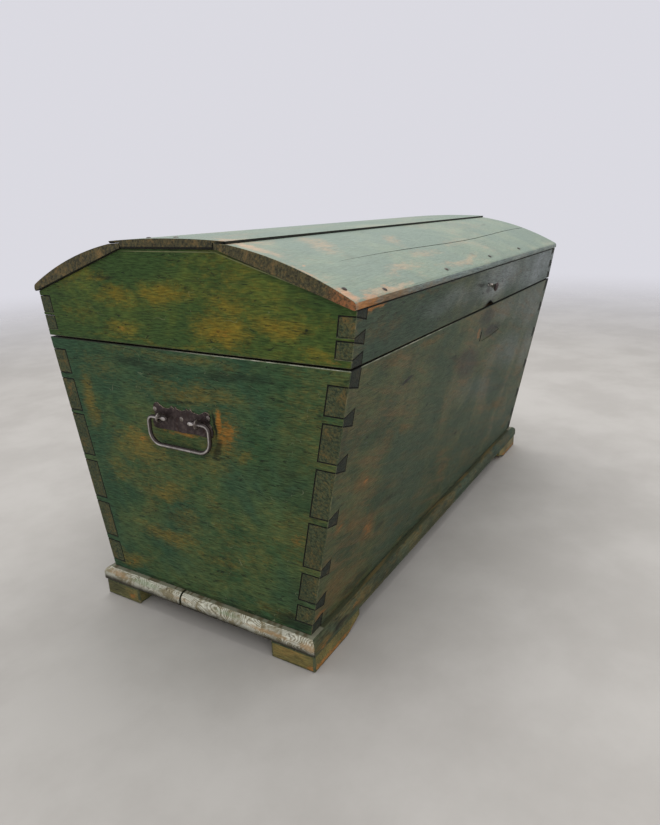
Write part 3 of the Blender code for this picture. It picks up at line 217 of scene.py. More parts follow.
world = bpy.data.worlds.new("studio")
world.use_nodes = True
scene.world = world
sky = world.node_tree.nodes
link = world.node_tree.links.new
light = sky["Background"]
light.inputs["Color"].default_value = (1.0, 0.99, 0.97, 1)
light.inputs["Strength"].default_value = 0.62
backdrop = sky.new("ShaderNodeBackground")
backdrop.inputs["Color"].default_value = (*BACKDROP, 1)
ray = sky.new("ShaderNodeLightPath")
sees_backdrop = ray.outputs["Is Camera Ray"]
for kind in ("Is Glossy Ray", "Is Transmission Ray"):
    larger = sky.new("ShaderNodeMath")
    larger.operation = "MAXIMUM"
    link(sees_backdrop, larger.inputs[0])
    link(ray.outputs[kind], larger.inputs[1])
    sees_backdrop = larger.outputs[0]
mixed = sky.new("ShaderNodeMixShader")
link(sees_backdrop, mixed.inputs[0])
link(light.outputs[0], mixed.inputs[1])
link(backdrop.outputs[0], mixed.inputs[2])
link(mixed.outputs[0], sky["World Output"].inputs["Surface"])


def lamp(name, place, target, size, power):
    """A square lamp that looks at its target."""
    data = bpy.data.lights.new(name, "AREA")
    data.size = size
    data.energy = power
    made = bpy.data.objects.new(name, data)
    made.location = place
    made.rotation_euler = (Vector(target) - Vector(place)).to_track_quat("-Z", "Y").to_euler()
    scene.collection.objects.link(made)
    print(name, "of", power, "W at", place)


lamp("ceiling_lamp", (0.5, 0.3, 3.2), (0, 0, 0.3), 2.6, 70)
lamp("side_lamp", (-2.4, -2.2, 2.2), (0, 0, 0.35), 1.8, 22)
scene.view_settings.view_transform = "Standard"

# %% [markdown]
# The trunk widens upwards: its front and back lean out from the planks to the rim, and the lid's
# rails go on to the eaves. Marks have to sit on the right board at the right height, so these
# few sizes are measured on the loaded solids, or given as half widths from the body's middle.

# %% Sizes of the trunk
MM = 0.001
BODY_Y = 0.006865
SOLE_HALF = 0.2235
RIM_HALF = 0.306
EAVE_HALF = 0.3165
RIDGE_HALF = 0.0990
WALL_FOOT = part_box("front_board")[0].z
RIM_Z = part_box("front_board")[1].z
LID_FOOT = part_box("lid_front_rail")[0].z
EAVE_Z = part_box("lid_front_rail")[1].z
RIDGE_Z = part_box("lid_left_gable")[1].z
BOARD_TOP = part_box("lid_top_board")[1].z
print("Heights, mm:", [round(z / MM) for z in (WALL_FOOT, RIM_Z, LID_FOOT, EAVE_Z, RIDGE_Z, BOARD_TOP)])

# %% [markdown]
# Where the wear sits is written in tables, read off the photograph with a ruler: each row is a
# soft ellipse on a face, and a noise breaks its rim. An image could be painted instead, but rows
# stay sharp at any size and can be moved by hand. A Mapping node of the texture kind turns a row
# into coordinates in which its ellipse is a circle of size 1, so its mask is only a distance.

# %% Patches from a table
THROUGH = 4.0


def patches_mask(finish, where, plane, rows, rim=(0.15, 1.45)):
    """The strongest of the soft ellipses. A row: across, up, half width, half height, strength, tilt.

    Lengths are in millimetres from the middle of the body, and the tilt is in degrees and may be left out."""
    total = None
    for row in rows:
        strength, tilt = (*row[4:], 0)[:2]
        across, up, half_across, half_up = (MM * length for length in row[:4])
        if plane == "YZ":
            middle, size = (0, across + BODY_Y, up), (THROUGH, half_across, half_up)
            turned = (math.radians(tilt), 0, 0)
        elif plane == "XZ":
            middle, size = (across, 0, up), (half_across, THROUGH, half_up)
            turned = (0, -math.radians(tilt), 0)
        else:
            middle, size = (across, up + BODY_Y, 0), (half_across, half_up, THROUGH)
            turned = (0, 0, math.radians(tilt))
        spot = finish.band(finish.distance(finish.moved(where, middle, turned, size)), *rim, strength, 0.0)
        total = spot if total is None else finish.math("MAXIMUM", total, spot)
    return total


def strayed(finish, scale, reach):
    """Object coordinates that wander by a noise, so that an ellipse gets a ragged rim."""
    wandering = finish.noise(finish.place, scale, 5.0, 0.6, out="Color")
    centred = finish.moved(finish.place, (reach / 2, reach / 2, reach / 2))
    inputs = {0: wandering, 1: (reach, reach, reach), 2: centred}
    return finish.add("VectorMath", inputs, operation="MULTIPLY_ADD").outputs[0]


def other_way(rows):
    """The same patches in mirrored order and a little narrower set, for a face that isn't seen."""
    return tuple((-0.8 * row[0], row[1], 1.1 * row[2], row[3], row[4], *(-tilt for tilt in row[5:]))
                 for row in rows)

# %% [markdown]
# Worn paint is the trunk's main finish. From below upwards the real one is orange pine, an ochre
# undercoat and green paint. One colour noise would look like camouflage, so the layers are
# stacked in that order, each with its own mask, and noises drawn out along the grain break them
# up as a brush and years of dusting do.

# %% Worn paint
DIRT_AND_SHADOW = (0.012, 0.017, 0.01)


def worn_paint(name, plane, coats, ochre_rows=(), orange_rows=(), dark_rows=(), sheen_rows=(), wear=0.35,
               gloss=0.15, roughness=(0.45, 0.70), shift=0.0, slant=None, cuts=0.35, grit=0.6, lines=()):
    """Paint over ochre over pine, on a board whose grain runs along the plane's first axis.

    Coats: light, deep, cool, the ochre, the bare wood, dirt that also paints shadows, and pale that
    also paints a sheen. Lines: pale rows, and dark rows that are painted shadows."""
    light_coat, deep_coat, cool_coat, ochre, bare, dirt_and_shade, pale = coats
    paint = Finish(name, gloss=gloss)
    home = paint.moved(paint.place, (shift, shift, shift))

    def along(stretch, scale, detail=4.0, rough=0.6, twist=0.3):
        size = tuple(stretch if axis == plane[0] else 1.0 for axis in "XYZ")
        return paint.noise(paint.moved(home, size=size), scale, detail, rough, twist)

    fibre = along(9.0, 520.0)
    streaks = along(10.0, 170.0)
    dashes = along(3.0, 150.0, 5.0, 0.7)
    mottle = along(1.6, 13.0, 8.0, 0.66, 0.5)
    clouds = paint.noise(home, 6.0, 4.0, 0.55, 0.6)
    fine = paint.noise(home, 240.0, 4.0, 0.7)

    # The paint: two greens mottled, a cooler one in clouds, dirt in the streaks, and a painted sheen over the
    # sheen rows.
    paint.colour = paint.blend(paint.band(mottle, 0.38, 0.62), deep_coat, light_coat)
    paint.lay_where(cool_coat, clouds, 0.44, 0.60, 0.7)
    paint.lay_where(dirt_and_shade, streaks, 0.52, 0.74, 0.6 * grit)
    if sheen_rows:
        painted_sheen = patches_mask(paint, strayed(paint, 8.0, 0.06), plane, sheen_rows)
        paint.lay(pale, paint.times(painted_sheen, paint.band(mottle, 0.30, 0.65, 0.45, 1.0)))

    # The undercoat shows in broken dashes, and where water ran it shows in slanting streaks.
    broken = paint.weighed((dashes, 1.3), (mottle, 0.4), (fine, 0.6))
    worn = paint.band(clouds, 0.36, 0.54, wear, 0.0)
    if ochre_rows:
        worn = paint.math("MAXIMUM", worn, patches_mask(paint, strayed(paint, 9.0, 0.07), plane, ochre_rows))
    ochre_share = paint.band(paint.math("ADD", worn, broken), 1.22, 2.35)
    paint.lay(ochre, paint.times(ochre_share, 0.9))
    if slant is not None:
        slanting = paint.moved(home, tilt=(0, math.radians(-slant), 0), size=(9.0, 1.0, 1.0))
        runs = paint.band(paint.noise(slanting, 62.0, 5.0, 0.62, 0.4), 0.46, 0.70)
        paint.lay(ochre, paint.times(runs, paint.band(clouds, 0.36, 0.62, 0.65, 0.20)))

    # Bare wood where something rubs, and dark rows: stains, and some painted shadows.
    near = strayed(paint, 30.0, 0.016)
    if orange_rows:
        rubbed = paint.math("ADD", patches_mask(paint, near, plane, orange_rows), broken)
        paint.lay_where(bare, rubbed, 1.42, 2.10)
    if dark_rows:
        stains_and_shadows = patches_mask(paint, near, plane, dark_rows, (0.45, 1.2))
        paint.lay(dirt_and_shade, paint.times(stains_and_shadows, paint.band(dashes, 0.30, 0.55, 0.6, 1.0)))

    # The grain stands through it all, with open pores, and pale scratches and specks cross it.
    paint.lay(paint.band(fibre, 0.30, 0.70, 1.0 - 0.55 * grit, 1.0 + 0.60 * grit), 1.0, "MULTIPLY")
    pores = paint.band(along(5.0, 230.0, 3.0, 0.6, 0.8), 0.61, 0.70, 0.0, grit)
    paint.lay(dirt_and_shade, pores)
    crossing = paint.noise(paint.moved(home, tilt=(0.5, 0.4, 0.9), size=(1.0, 5.0, 1.0)), 9.0, 3.0, 0.6, 0.4)
    from_line = paint.math("ABSOLUTE", paint.math("SUBTRACT", crossing, 0.5))
    scratch = paint.band(from_line, 0.0, 0.0022, cuts, 0.0)
    paint.lay(pale, paint.math("MAXIMUM", paint.times(scratch, paint.band(streaks, 0.50, 0.60)),
                               paint.band(fine, 0.685, 0.73, 0.0, cuts * 2)))
    # Drawn lines: pale ones, and dark ones that are painted shadows.
    for rows, tone in zip(lines, (pale, DIRT_AND_SHADOW)):
        drawn = patches_mask(paint, paint.place, plane, rows, (0.6, 1.2))
        paint.lay(tone, paint.times(drawn, paint.band(dashes, 0.25, 0.45, 0.5, 1.0)))
    dull = paint.weighed((paint.band(clouds, 0.3, 0.7, *roughness), 1.0), (ochre_share, 0.12))
    return paint.finished(dull, paint.weighed((fibre, 0.5), (streaks, 0.7), (pores, -0.6)), 0.0010)

# %% [markdown]
# The ends: the body's end board below, the lid's gable above. Their marks lie across the trunk
# and up from the floor. Rubbing is strongest round the handle plate, where hands and the bail go.
# The far end isn't seen in the photograph, so it takes the same wear in another order.

# %% Wear on the end boards
ORANGE = (0.3, 0.135, 0.026)
END_COATS = ((0.07, 0.11, 0.04), (0.034, 0.076, 0.03), (0.03, 0.074, 0.042), (0.205, 0.138, 0.026),
             ORANGE, DIRT_AND_SHADOW, (0.23, 0.25, 0.15))
END_OCHRE = (
    (224, 386, 22, 60, 0.7), (-20, 430, 130, 22, 0.55), (110, 330, 85, 42, 0.72, 12),
    (-45, 318, 50, 22, 0.4), (-76, 372, 50, 55, 0.6), (61, 249, 80, 24, 0.7), (161, 274, 50, 40, 0.45),
    (61, 161, 85, 22, 0.65), (-40, 143, 90, 20, 0.45), (174, 86, 60, 20, 0.65), (-195, 250, 24, 30, 0.2),
    (20, 205, 50, 30, 0.45), (-155, 80, 90, 16, 0.4), (20, 482, 200, 12, 0.4), (190, 455, 70, 24, 0.35),
    (-60, 350, 45, 45, 0.5), (-120, 340, 26, 14, 0.65, -50),
)
END_ORANGE = (
    (-71, 388, 8, 28, 1, 5), (-83, 374, 22, 36, 0.72, 14), (120, 352, 30, 14, 0.3),
    (4, 360.5, 58, 5, 0.65), (180, 80, 30, 10, 0.45), (-205, 225, 16, 16, 0.4), (100, 340, 14, 16, 0.5),
)
# The narrow dark rows beside and under the handle plate and the bail are painted shadows.
END_DARK = (
    (-215, 300, 40, 150, 0.2), (105, 470, 55, 9, 0.55, 3), (60, 462, 30, 10, 0.45),
    (-105, 467, 80, 8, 0.5, -3), (20, 464, 45, 7, 0.35), (50, 200, 90, 10, 0.25),
    (-190, 74, 45, 16, 0.7), (0, 62, 240, 3, 0.6), (-200, 120, 18, 50, 0.25),
    (-64, 345, 8, 22, 0.75, 25), (0, 334, 60, 6, 0.45, 4), (-61.5, 384, 3.5, 26, 0.95),
    (10, 413, 45, 3, 0.6, -4),
)
paint_left_end = worn_paint("paint_left_end", "YZ", END_COATS, END_OCHRE, END_ORANGE, END_DARK,
                            cuts=0.60, grit=0.7)
paint_right_end = worn_paint("paint_right_end", "YZ", END_COATS, other_way(END_OCHRE),
                             END_ORANGE[1:3], END_DARK[5:8], shift=1.7)

# %% [markdown]
# On the gable a pale line of bare arris and a dark line of shadow follow the boards above it. A
# bevel would be too fine to show from the camera, so they are drawn as very flat ellipses, laid
# along the slope that the solids have.

# %% Wear on the gables
GABLE_COATS = ((0.09, 0.122, 0.022), (0.044, 0.08, 0.018), (0.038, 0.078, 0.024), (0.235, 0.16, 0.018),
               ORANGE, DIRT_AND_SHADOW, (0.23, 0.24, 0.12))
GABLE_OCHRE = (
    (18, 589, 65, 24, 0.78), (124, 577, 60, 22, 0.7, 8), (-90, 535, 80, 34, 0.85),
    (-189, 552, 65, 22, 0.75), (118, 524, 50, 18, 0.62), (164, 611, 50, 14, 0.4, 20),
    (-120, 618, 55, 22, 0.45, -10), (-70, 640, 90, 12, 0.35), (0, 506, 290, 5, 0.45),
    (-250, 512, 40, 16, 0.6), (-110, 575, 60, 30, 0.6), (210, 545, 60, 26, 0.35),
)
GABLE_ORANGE = (
    (-285, 506, 30, 5, 0.55), (-95, 530, 25, 12, 0.4), (-185, 552, 25, 6, 0.3), (120, 524, 14, 6, 0.4),
)
GABLE_DARK = (
    (150, 605, 40, 3, 0.55), (-20, 652, 110, 4, 0.45), (-230, 585, 30, 4, 0.3),
    (-240, 546, 3.5, 3.5, 0.95),
)
SLOPE_TILT = math.degrees(math.atan2(RIDGE_Z - EAVE_Z, EAVE_HALF - RIDGE_HALF))


def under_slope(below, half_thick):
    """A straight line along the gable's front slope, this many millimetres below its edge."""
    middle_y, middle_z = -(RIDGE_HALF + EAVE_HALF) / 2, (RIDGE_Z + EAVE_Z) / 2
    return (middle_y / MM, middle_z / MM - below, 140, half_thick, 0.9, SLOPE_TILT)


def under_top(below, half_thick):
    """The same along the flat middle of the gable."""
    return (0, RIDGE_Z / MM - below, 105, half_thick, 0.9)


GABLE_LINES = ((under_slope(6.4, 0.9), under_top(3.4, 0.9)), (under_slope(4.0, 1.3),))
paint_left_gable = worn_paint("paint_left_gable", "YZ", GABLE_COATS, GABLE_OCHRE, GABLE_ORANGE,
                              GABLE_DARK, cuts=0.55, grit=0.7, lines=GABLE_LINES)
paint_right_gable = worn_paint("paint_right_gable", "YZ", GABLE_COATS, other_way(GABLE_OCHRE),
                               GABLE_ORANGE[1:], GABLE_DARK[:3], shift=2.3)

# %% [markdown]
# The front is greyer, with orange-brown rubs that run down to the right at its near end, a pale
# far end that is a painted sheen, and a brown stain round the keyhole. The back isn't seen: it has
# the ends' green.

# %% Wear on the front and back
FRONT_COATS = ((0.076, 0.092, 0.04), (0.036, 0.058, 0.028), (0.052, 0.08, 0.052), (0.14, 0.09, 0.038),
               (0.29, 0.125, 0.038), (0.015, 0.016, 0.013), (0.185, 0.205, 0.2))
FRONT_SHEEN = (
    (420, 440, 200, 60, 0.75, -10), (300, 350, 160, 50, 0.5, -10), (500, 330, 90, 80, 0.55, -10),
    (180, 470, 120, 24, 0.45), (100, 300, 160, 30, 0.25, -12),
)
FRONT_OCHRE = (
    (-446, 293, 40, 22, 0.8, -30), (-403, 186, 50, 32, 0.9, -30), (-503, 250, 30, 30, 0.7, -30),
    (-460, 220, 40, 30, 0.7, -30), (-500, 110, 70, 40, 0.75), (-274, 486, 90, 10, 0.65),
    (-389, 343, 50, 16, 0.55, -10), (-317, 343, 30, 14, 0.55, -10), (-46, 161, 50, 18, 0.7),
    (319, 200, 110, 20, 0.7, -12), (469, 250, 70, 18, 0.55, -10), (476, 93, 70, 14, 0.6),
    (60, 360, 140, 22, 0.35, -6), (-400, 480, 80, 14, 0.55), (150, 110, 160, 22, 0.4),
    (-250, 120, 90, 18, 0.45, -8),
)
FRONT_ORANGE = (
    (-440, 290, 16, 12, 0.55, -30), (-398, 182, 26, 16, 0.6, -30), (-510, 240, 14, 12, 0.5),
    (-530, 85, 20, 16, 0.6), (-49, 311, 16, 5, 0.35, -10), (2, 446, 12, 16, 0.72),
    (330, 205, 50, 10, 0.3, -14), (-400, 71, 40, 4, 0.45), (-230, 71, 30, 4, 0.5),
)
FRONT_DARK = (
    (-345, 434, 26, 3.8, 0.95, 6), (-410, 79, 60, 12, 0.45), (-228, 357, 6, 3, 0.85),
    (-119, 426, 5, 3, 0.85), (-3, 225, 14, 4, 0.7), (-346, 161, 22, 7, 0.5), (40, 474, 55, 20, 0.62),
    (-40, 404, 90, 20, 0.6, -8), (94, 438, 62, 15, 0.8, -3), (19, 441.5, 4.2, 13, 1),
    (-320, 208, 80, 8, 0.3, -8), (-110, 418, 50, 5, 0.55, -12), (0, 62, 570, 3, 0.7),
    (-540, 400, 8, 80, 0.3), (250, 260, 140, 12, 0.25, -10), (-30, 388, 80, 34, 0.62, -8),
)
paint_front = worn_paint("paint_front", "XZ", FRONT_COATS, FRONT_OCHRE, FRONT_ORANGE, FRONT_DARK,
                         FRONT_SHEEN, gloss=0.18, roughness=(0.45, 0.62), slant=-16, grit=0.5)
paint_back = worn_paint("paint_back", "XZ", END_COATS, other_way(FRONT_OCHRE), FRONT_ORANGE[:4],
                        FRONT_DARK[7:8], wear=0.45, gloss=0.2, shift=3.1)

# %% [markdown]
# The lid's low rails carry on the front and back, and go from green at the near end to a pale
# blue-grey at the far one, which is a painted sheen. A painted shadow of the knob falls to its left,
# and a black spill runs down under the knob.

# %% Wear on the lid's rails
RAIL_COATS = ((0.062, 0.078, 0.036), (0.03, 0.05, 0.025), (0.044, 0.07, 0.048), (0.15, 0.09, 0.036),
              (0.32, 0.13, 0.036), (0.015, 0.016, 0.013), (0.29, 0.322, 0.345))
RAIL_OCHRE = (
    (-480, 530, 80, 18, 0.45), (-430, 535, 40, 14, 0.45), (-470, 572, 120, 6, 0.7),
    (-300, 575, 160, 4, 0.45), (-540, 520, 20, 20, 0.45), (200, 540, 200, 12, 0.3),
)
RAIL_SHEEN = ((450, 540, 240, 60, 0.75), (100, 550, 190, 40, 0.6), (-200, 545, 140, 20, 0.25))
RAIL_ORANGE = ((-500, 573.5, 60, 4, 0.7), (-546, 545, 8, 18, 0.4))
# The first dark row is a painted shadow of the knob, cast to its left.
RAIL_DARK = (
    (-50, 550, 30, 4, 0.8, -8), (-28, 529.5, 4, 2.2, 0.95), (30, 505, 36, 6, 0.6), (6, 534, 14, 10, 0.6),
    (30, 540, 16, 6, 0.4),
)
paint_rail = worn_paint("paint_rail", "XZ", RAIL_COATS, RAIL_OCHRE, RAIL_ORANGE, RAIL_DARK,
                        RAIL_SHEEN, wear=0.20, gloss=0.18, roughness=(0.42, 0.60), shift=0.8)
paint_back_rail = worn_paint("paint_back_rail", "XZ", END_COATS, other_way(RAIL_OCHRE),
                             wear=0.40, gloss=0.2, shift=1.2)

# %% [markdown]
# The lid's boards lie in the light, and their colour is a pale blue-green with peach spots: paler
# than the walls' green because a painted sheen is mixed in. Along the eaves hands have taken hold
# for years, so the edge there is orange-brown.

# %% Wear on the lid's boards
LID_COATS = ((0.205, 0.262, 0.19), (0.165, 0.22, 0.165), (0.18, 0.235, 0.195), (0.48, 0.32, 0.205),
             (0.43, 0.255, 0.145), (0.045, 0.055, 0.042), (0.34, 0.37, 0.3))
TOP_COATS = tuple(tuple(0.98 * part for part in coat) for coat in LID_COATS)
LID_OCHRE = (
    (-392, -165, 55, 34, 0.62, 60), (-174, -190, 50, 24, 0.55, 30), (-189, -250, 70, 18, 0.55),
    (-324, -280, 80, 16, 0.55), (-96, -295, 120, 12, 0.6), (-440, -308, 90, 7, 0.8),
    (11, -240, 90, 20, 0.4), (-535, -140, 14, 80, 0.8), (-500, -130, 50, 14, 0.55),
    (250, -180, 150, 20, 0.3), (-470, -60, 120, 30, 0.4), (-200, -30, 150, 30, 0.3),
)
LID_ORANGE = (
    (-548, -302, 16, 24, 0.95), (-510, -313.5, 50, 6, 0.85), (-449, -306, 12, 8, 0.7),
    (-552, -240, 5, 50, 0.65), (-531, -226, 5, 4, 0.8), (-549, -110, 10, 18, 0.65),
    (-552, 20, 5, 80, 0.5),
)
LID_DARK = (
    (-205, -305, 12, 5, 0.45), (40, -302, 16, 5, 0.45), (250, -302, 14, 5, 0.45),
    (-400, -222, 16, 9, 0.2, 20), (370, -178, 30, 4, 0.45, 10), (-25, -285, 10, 4, 0.3),
)
EAVE_COATS = ((0.19, 0.23, 0.205), (0.12, 0.155, 0.14), (0.155, 0.195, 0.195), (0.19, 0.11, 0.046),
              (0.34, 0.15, 0.048), (0.016, 0.018, 0.014), (0.26, 0.27, 0.22))
EAVE_OCHRE = ((-470, 572, 150, 30, 0.95), (-300, 572, 100, 20, 0.7))
EAVE_ORANGE = ((-530, 572, 50, 30, 0.95), (-430, 568, 60, 14, 0.75), (-280, 568, 40, 10, 0.5))
paint_lid = worn_paint("paint_lid", "XY", LID_COATS, LID_OCHRE, LID_ORANGE, LID_DARK,
                       wear=0.30, gloss=0.4, roughness=(0.38, 0.55), shift=0.4, grit=0.22)
paint_top = worn_paint("paint_top", "XY", TOP_COATS, LID_OCHRE[7:], LID_ORANGE[5:],
                       wear=0.30, gloss=0.4, roughness=(0.40, 0.58), shift=1.4, grit=0.25)
paint_eave = worn_paint("paint_eave", "XZ", EAVE_COATS, EAVE_OCHRE, EAVE_ORANGE,
                        wear=0.20, gloss=0.25, shift=0.5)

# %% [markdown]
# Sawn ends drink paint and dirt, so a tail's end or a lid board's edge is darker and shows the
# year rings as short hatching. Real rings are arcs, but on ends this small a stretched noise
# gives the same fine strokes. Rubbed arrises are the same wood with lighter colours.

# %% End grain, worn edges and joints
RUST = (0.34, 0.13, 0.05)
RUST_FADE = 0.030


def sawn_end(name, coats, rings=(1.0, 1.0, 1.0), scale=1.0, worn=0.5, bright_rows=(), rusty_to=None):
    """Sawn or rubbed wood. Coats: the wood, its dark rings, the worn wood and the bare wood.

    With bright_rows it is only bright inside them, and with rusty_to it is rusty in front of that."""
    base, dark, rubbed, bare = coats
    wood = Finish(name, roughness=0.75, gloss=0.3)
    bent = wood.moved(wood.place, (0.3, 0.2, 0.1), (0.4, 0.3, 0.5), rings)
    hatch = wood.noise(bent, 240.0 * scale, 3.0, 0.6, 0.4)
    blotch = wood.noise(wood.place, 45.0, 5.0, 0.65, 0.5)
    fine = wood.noise(wood.place, 260.0, 4.0, 0.7)
    large = wood.noise(wood.place, 16.0, 3.0, 0.6, 0.4)
    wood.colour = wood.blend(wood.band(hatch, 0.38, 0.62), dark, base)
    wood.lay_where(rubbed, blotch, 0.48, 0.66, worn)
    wood.lay_where(bare, wood.weighed((blotch, 0.6), (fine, 0.4)), 0.56, 0.64, worn)
    wood.lay(dark, wood.band(large, 0.40, 0.60, 0.40, 0.0))
    wood.lay_where(rubbed, fine, 0.53, 0.62, worn)
    wood.lay(tuple(0.35 * part for part in dark), wood.band(fine, 0.38, 0.46, worn, 0.0))
    if rusty_to:
        front = wood.band(wood.axis("Y"), rusty_to - RUST_FADE, rusty_to, 1.0, 0.0)
        wood.lay(RUST, wood.times(front, wood.band(fine, 0.40, 0.60, 0.25, 0.95)))
    if bright_rows:
        bright = patches_mask(wood, strayed(wood, 12.0, 0.05), "XY", bright_rows)
        wood.colour = wood.blend(bright, (0.03, 0.036, 0.022), wood.colour)
    return wood.finished(wood.band(fine, 0.3, 0.7, 0.65, 0.9), hatch, 0.0012)


tail_end = sawn_end("tail_end", ((0.078, 0.094, 0.044), (0.026, 0.04, 0.02), (0.135, 0.105, 0.036),
                                 (0.22, 0.125, 0.038)), (1.0, 2.2, 1.0), scale=1.5, worn=0.60)
pin_end = sawn_end("pin_end", ((0.024, 0.034, 0.021), (0.009, 0.012, 0.009), (0.06, 0.056, 0.032),
                               (0.11, 0.075, 0.034)), (3.0, 1.0, 1.0), scale=1.6, worn=0.45)
board_end = sawn_end("board_end", ((0.105, 0.096, 0.046), (0.046, 0.043, 0.023), (0.165, 0.12, 0.05),
                                   (0.29, 0.175, 0.07)), (1.0, 0.7, 4.0), scale=1.4, worn=0.80,
                     rusty_to=-0.262)
worn_edge = sawn_end("worn_edge", ((0.12, 0.13, 0.07), (0.04, 0.06, 0.03), (0.19, 0.16, 0.08),
                                   (0.28, 0.22, 0.13)), (5.0, 5.0, 5.0), scale=0.7, worn=0.5)
lid_edge = sawn_end("lid_edge", ((0.24, 0.26, 0.19), (0.13, 0.15, 0.1), (0.33, 0.27, 0.18),
                                 (0.42, 0.27, 0.15)), (5.0, 5.0, 5.0), scale=0.7, worn=0.6)
joint_dirt_and_shade = sawn_end("joint_dirt_and_shade", ((0.013, 0.015, 0.01), (0.004, 0.004, 0.003), (0.026, 0.026, 0.014),
                                     (0.06, 0.044, 0.018)), worn=0.6)
RIM_BRIGHT = ((-550, -200, 160, 220, 1), (-330, -310, 200, 100, 0.8), (550, 100, 100, 150, 0.8))
rim_edge = sawn_end("rim_edge", ((0.48, 0.49, 0.4), (0.16, 0.19, 0.12), (0.4, 0.38, 0.28),
                                 (0.2, 0.15, 0.08)), (4.0, 4.0, 4.0), scale=0.6, worn=0.4,
                    bright_rows=RIM_BRIGHT)

# %% [markdown]
# Inside, the pine was never painted. A board sawn along its length shows its rings as long
# arches. A sine of a smooth noise, drawn out along the board, runs through bright and dark many
# times, and so gives arches and knots' swirls without any picture. Past the walls the same
# boards lie outside: there the planks turn to dirty paint, while the rim and the lid's underside
# turn black, as dirt and painted shade in the gap between them and under the overhang.

# %% Bare pine
PINE = ((0.43, 0.27, 0.125), (0.27, 0.14, 0.055))
GAP_DIRT_AND_SHADE = ((0.008, 0.009, 0.006), (0.014, 0.012, 0.008))
OUTSIDE_FADE = 0.004


def grained(name, colours, grain="X", past_walls=()):
    """Pine sawn along its rings, with other colours past the walls where rows of axis, place and colours say.
    """
    pale, dark = colours
    wood = Finish(name, roughness=0.7, gloss=0.35)
    drawn_out = (16.0, 1.0, 1.0) if grain == "X" else (1.0, 16.0, 1.0)
    bent = wood.moved(wood.place, (0.2, 0.4, 0.3), size=drawn_out)
    rings = wood.noise(bent, 9.0, 2.0, 0.45, 0.3)
    late = wood.band(wood.math("SINE", wood.times(rings, 110.0)), -0.2, 1.0)
    pores = wood.noise(bent, 420.0, 3.0, 0.6)
    blotch = wood.noise(wood.place, 7.0, 5.0, 0.6, 0.5)
    wood.colour = wood.blend(wood.times(late, 0.75), pale, dark)
    wood.lay_where(dark, pores, 0.5, 0.8, 0.4)
    wood.lay((0.5, 0.4, 0.3), wood.band(blotch, 0.35, 0.75, 0.0, 0.35), "MULTIPLY")
    for axis, wall_inside, (clean, worn) in past_walls:
        from_middle = wood.math("ABSOLUTE", wood.axis(axis, wood.moved(wood.place, (0, BODY_Y, 0))))
        wood.lay_where(wood.blend(late, clean, worn), from_middle, wall_inside, wall_inside + OUTSIDE_FADE)
    height = wood.weighed((late, 0.5), (pores, 0.5))
    return wood.finished(wood.band(blotch, 0.3, 0.7, 0.6, 0.8), height, 0.0007)


bare_pine = grained("bare_pine", PINE)
bare_pine_across = grained("bare_pine_across", PINE, "Y")
plank_top = grained("plank_top", PINE, past_walls=(("Y", 0.193, ((0.05, 0.056, 0.026), (0.12, 0.092, 0.034))),
                                              ("X", 0.521, ((0.2, 0.2, 0.14), (0.12, 0.105, 0.06)))))
lid_under = grained("lid_under", PINE, past_walls=(("Y", 0.305, GAP_DIRT_AND_SHADE), ("X", 0.540, GAP_DIRT_AND_SHADE)))
rim_wood = grained("rim_wood", ((0.19, 0.125, 0.062), (0.09, 0.056, 0.026)),
                   past_walls=(("Y", 0.297, GAP_DIRT_AND_SHADE), ("X", 0.540, GAP_DIRT_AND_SHADE)))

# %% [markdown]
# The floor planks have been kicked and mopped. On their sawn ends pale paint stays between the
# year rings, tan and green show through it, and towards the lower edge a painted shade turns them
# black. Their long sides and the feet keep more of the paint, so they take the same worn paint as
# the walls.

# %% Planks and feet
PLANK_TAN = (
    (-150, 48, 80, 6, 0.6), (-225, 46, 30, 10, 0.65), (200, 50, 50, 8, 0.6), (40, 48, 50, 6, 0.5),
)
PLANK_GREEN = ((130, 50, 60, 8, 0.5), (-60, 52, 50, 6, 0.45))
LOWER_SHADE_FROM = 0.034
LOWER_SHADE_TO = 0.046


def painted_end_grain(name):
    """Pale paint on the ends of the floor planks, with the year rings standing through it."""
    wood = Finish(name, roughness=0.6, gloss=0.3)
    near = strayed(wood, 30.0, 0.010)
    bowed = wood.noise(wood.moved(wood.place, size=(1.0, 2.0, 1.0)), 6.5, 2.0, 0.5, 0.2)
    fine = wood.noise(wood.place, 260.0, 5.0, 0.7)
    blotch = wood.noise(wood.place, 42.0, 6.0, 0.70, 0.6)
    late = wood.band(wood.math("SINE", wood.weighed((bowed, 1500.0), (fine, 6.0))), -0.4, 0.8)
    wood.colour = wood.blend(wood.band(blotch, 0.46, 0.60), (0.7, 0.7, 0.6), (0.34, 0.3, 0.19))
    wood.lay((0.18, 0.15, 0.085), wood.times(late, wood.band(blotch, 0.34, 0.58, 0.40, 0.85)))
    tan = wood.weighed((patches_mask(wood, near, "YZ", PLANK_TAN), 1.0), (fine, 0.6))
    wood.lay_where((0.42, 0.27, 0.13), tan, 0.62, 0.98, 0.85)
    green = wood.weighed((patches_mask(wood, near, "YZ", PLANK_GREEN), 1.0), (fine, 0.6))
    wood.lay_where((0.24, 0.31, 0.19), green, 0.55, 0.85, 0.7)
    chips = wood.band(wood.noise(wood.place, 120.0, 4.0, 0.7, 0.6), 0.60, 0.68, 0.0, 0.7)
    wood.lay((0.1, 0.09, 0.06), chips)
    # Towards the lower edge the end is painted black, as the shade under the rounded nose.
    lower_shade = wood.band(wood.axis("Z", near), LOWER_SHADE_FROM, LOWER_SHADE_TO, 1.0, 0.0)
    wood.lay((0.034, 0.03, 0.018), lower_shade)
    height = wood.weighed((late, 0.6), (chips, -0.5))
    return wood.finished(wood.band(fine, 0.3, 0.7, 0.5, 0.75), height, 0.0007)


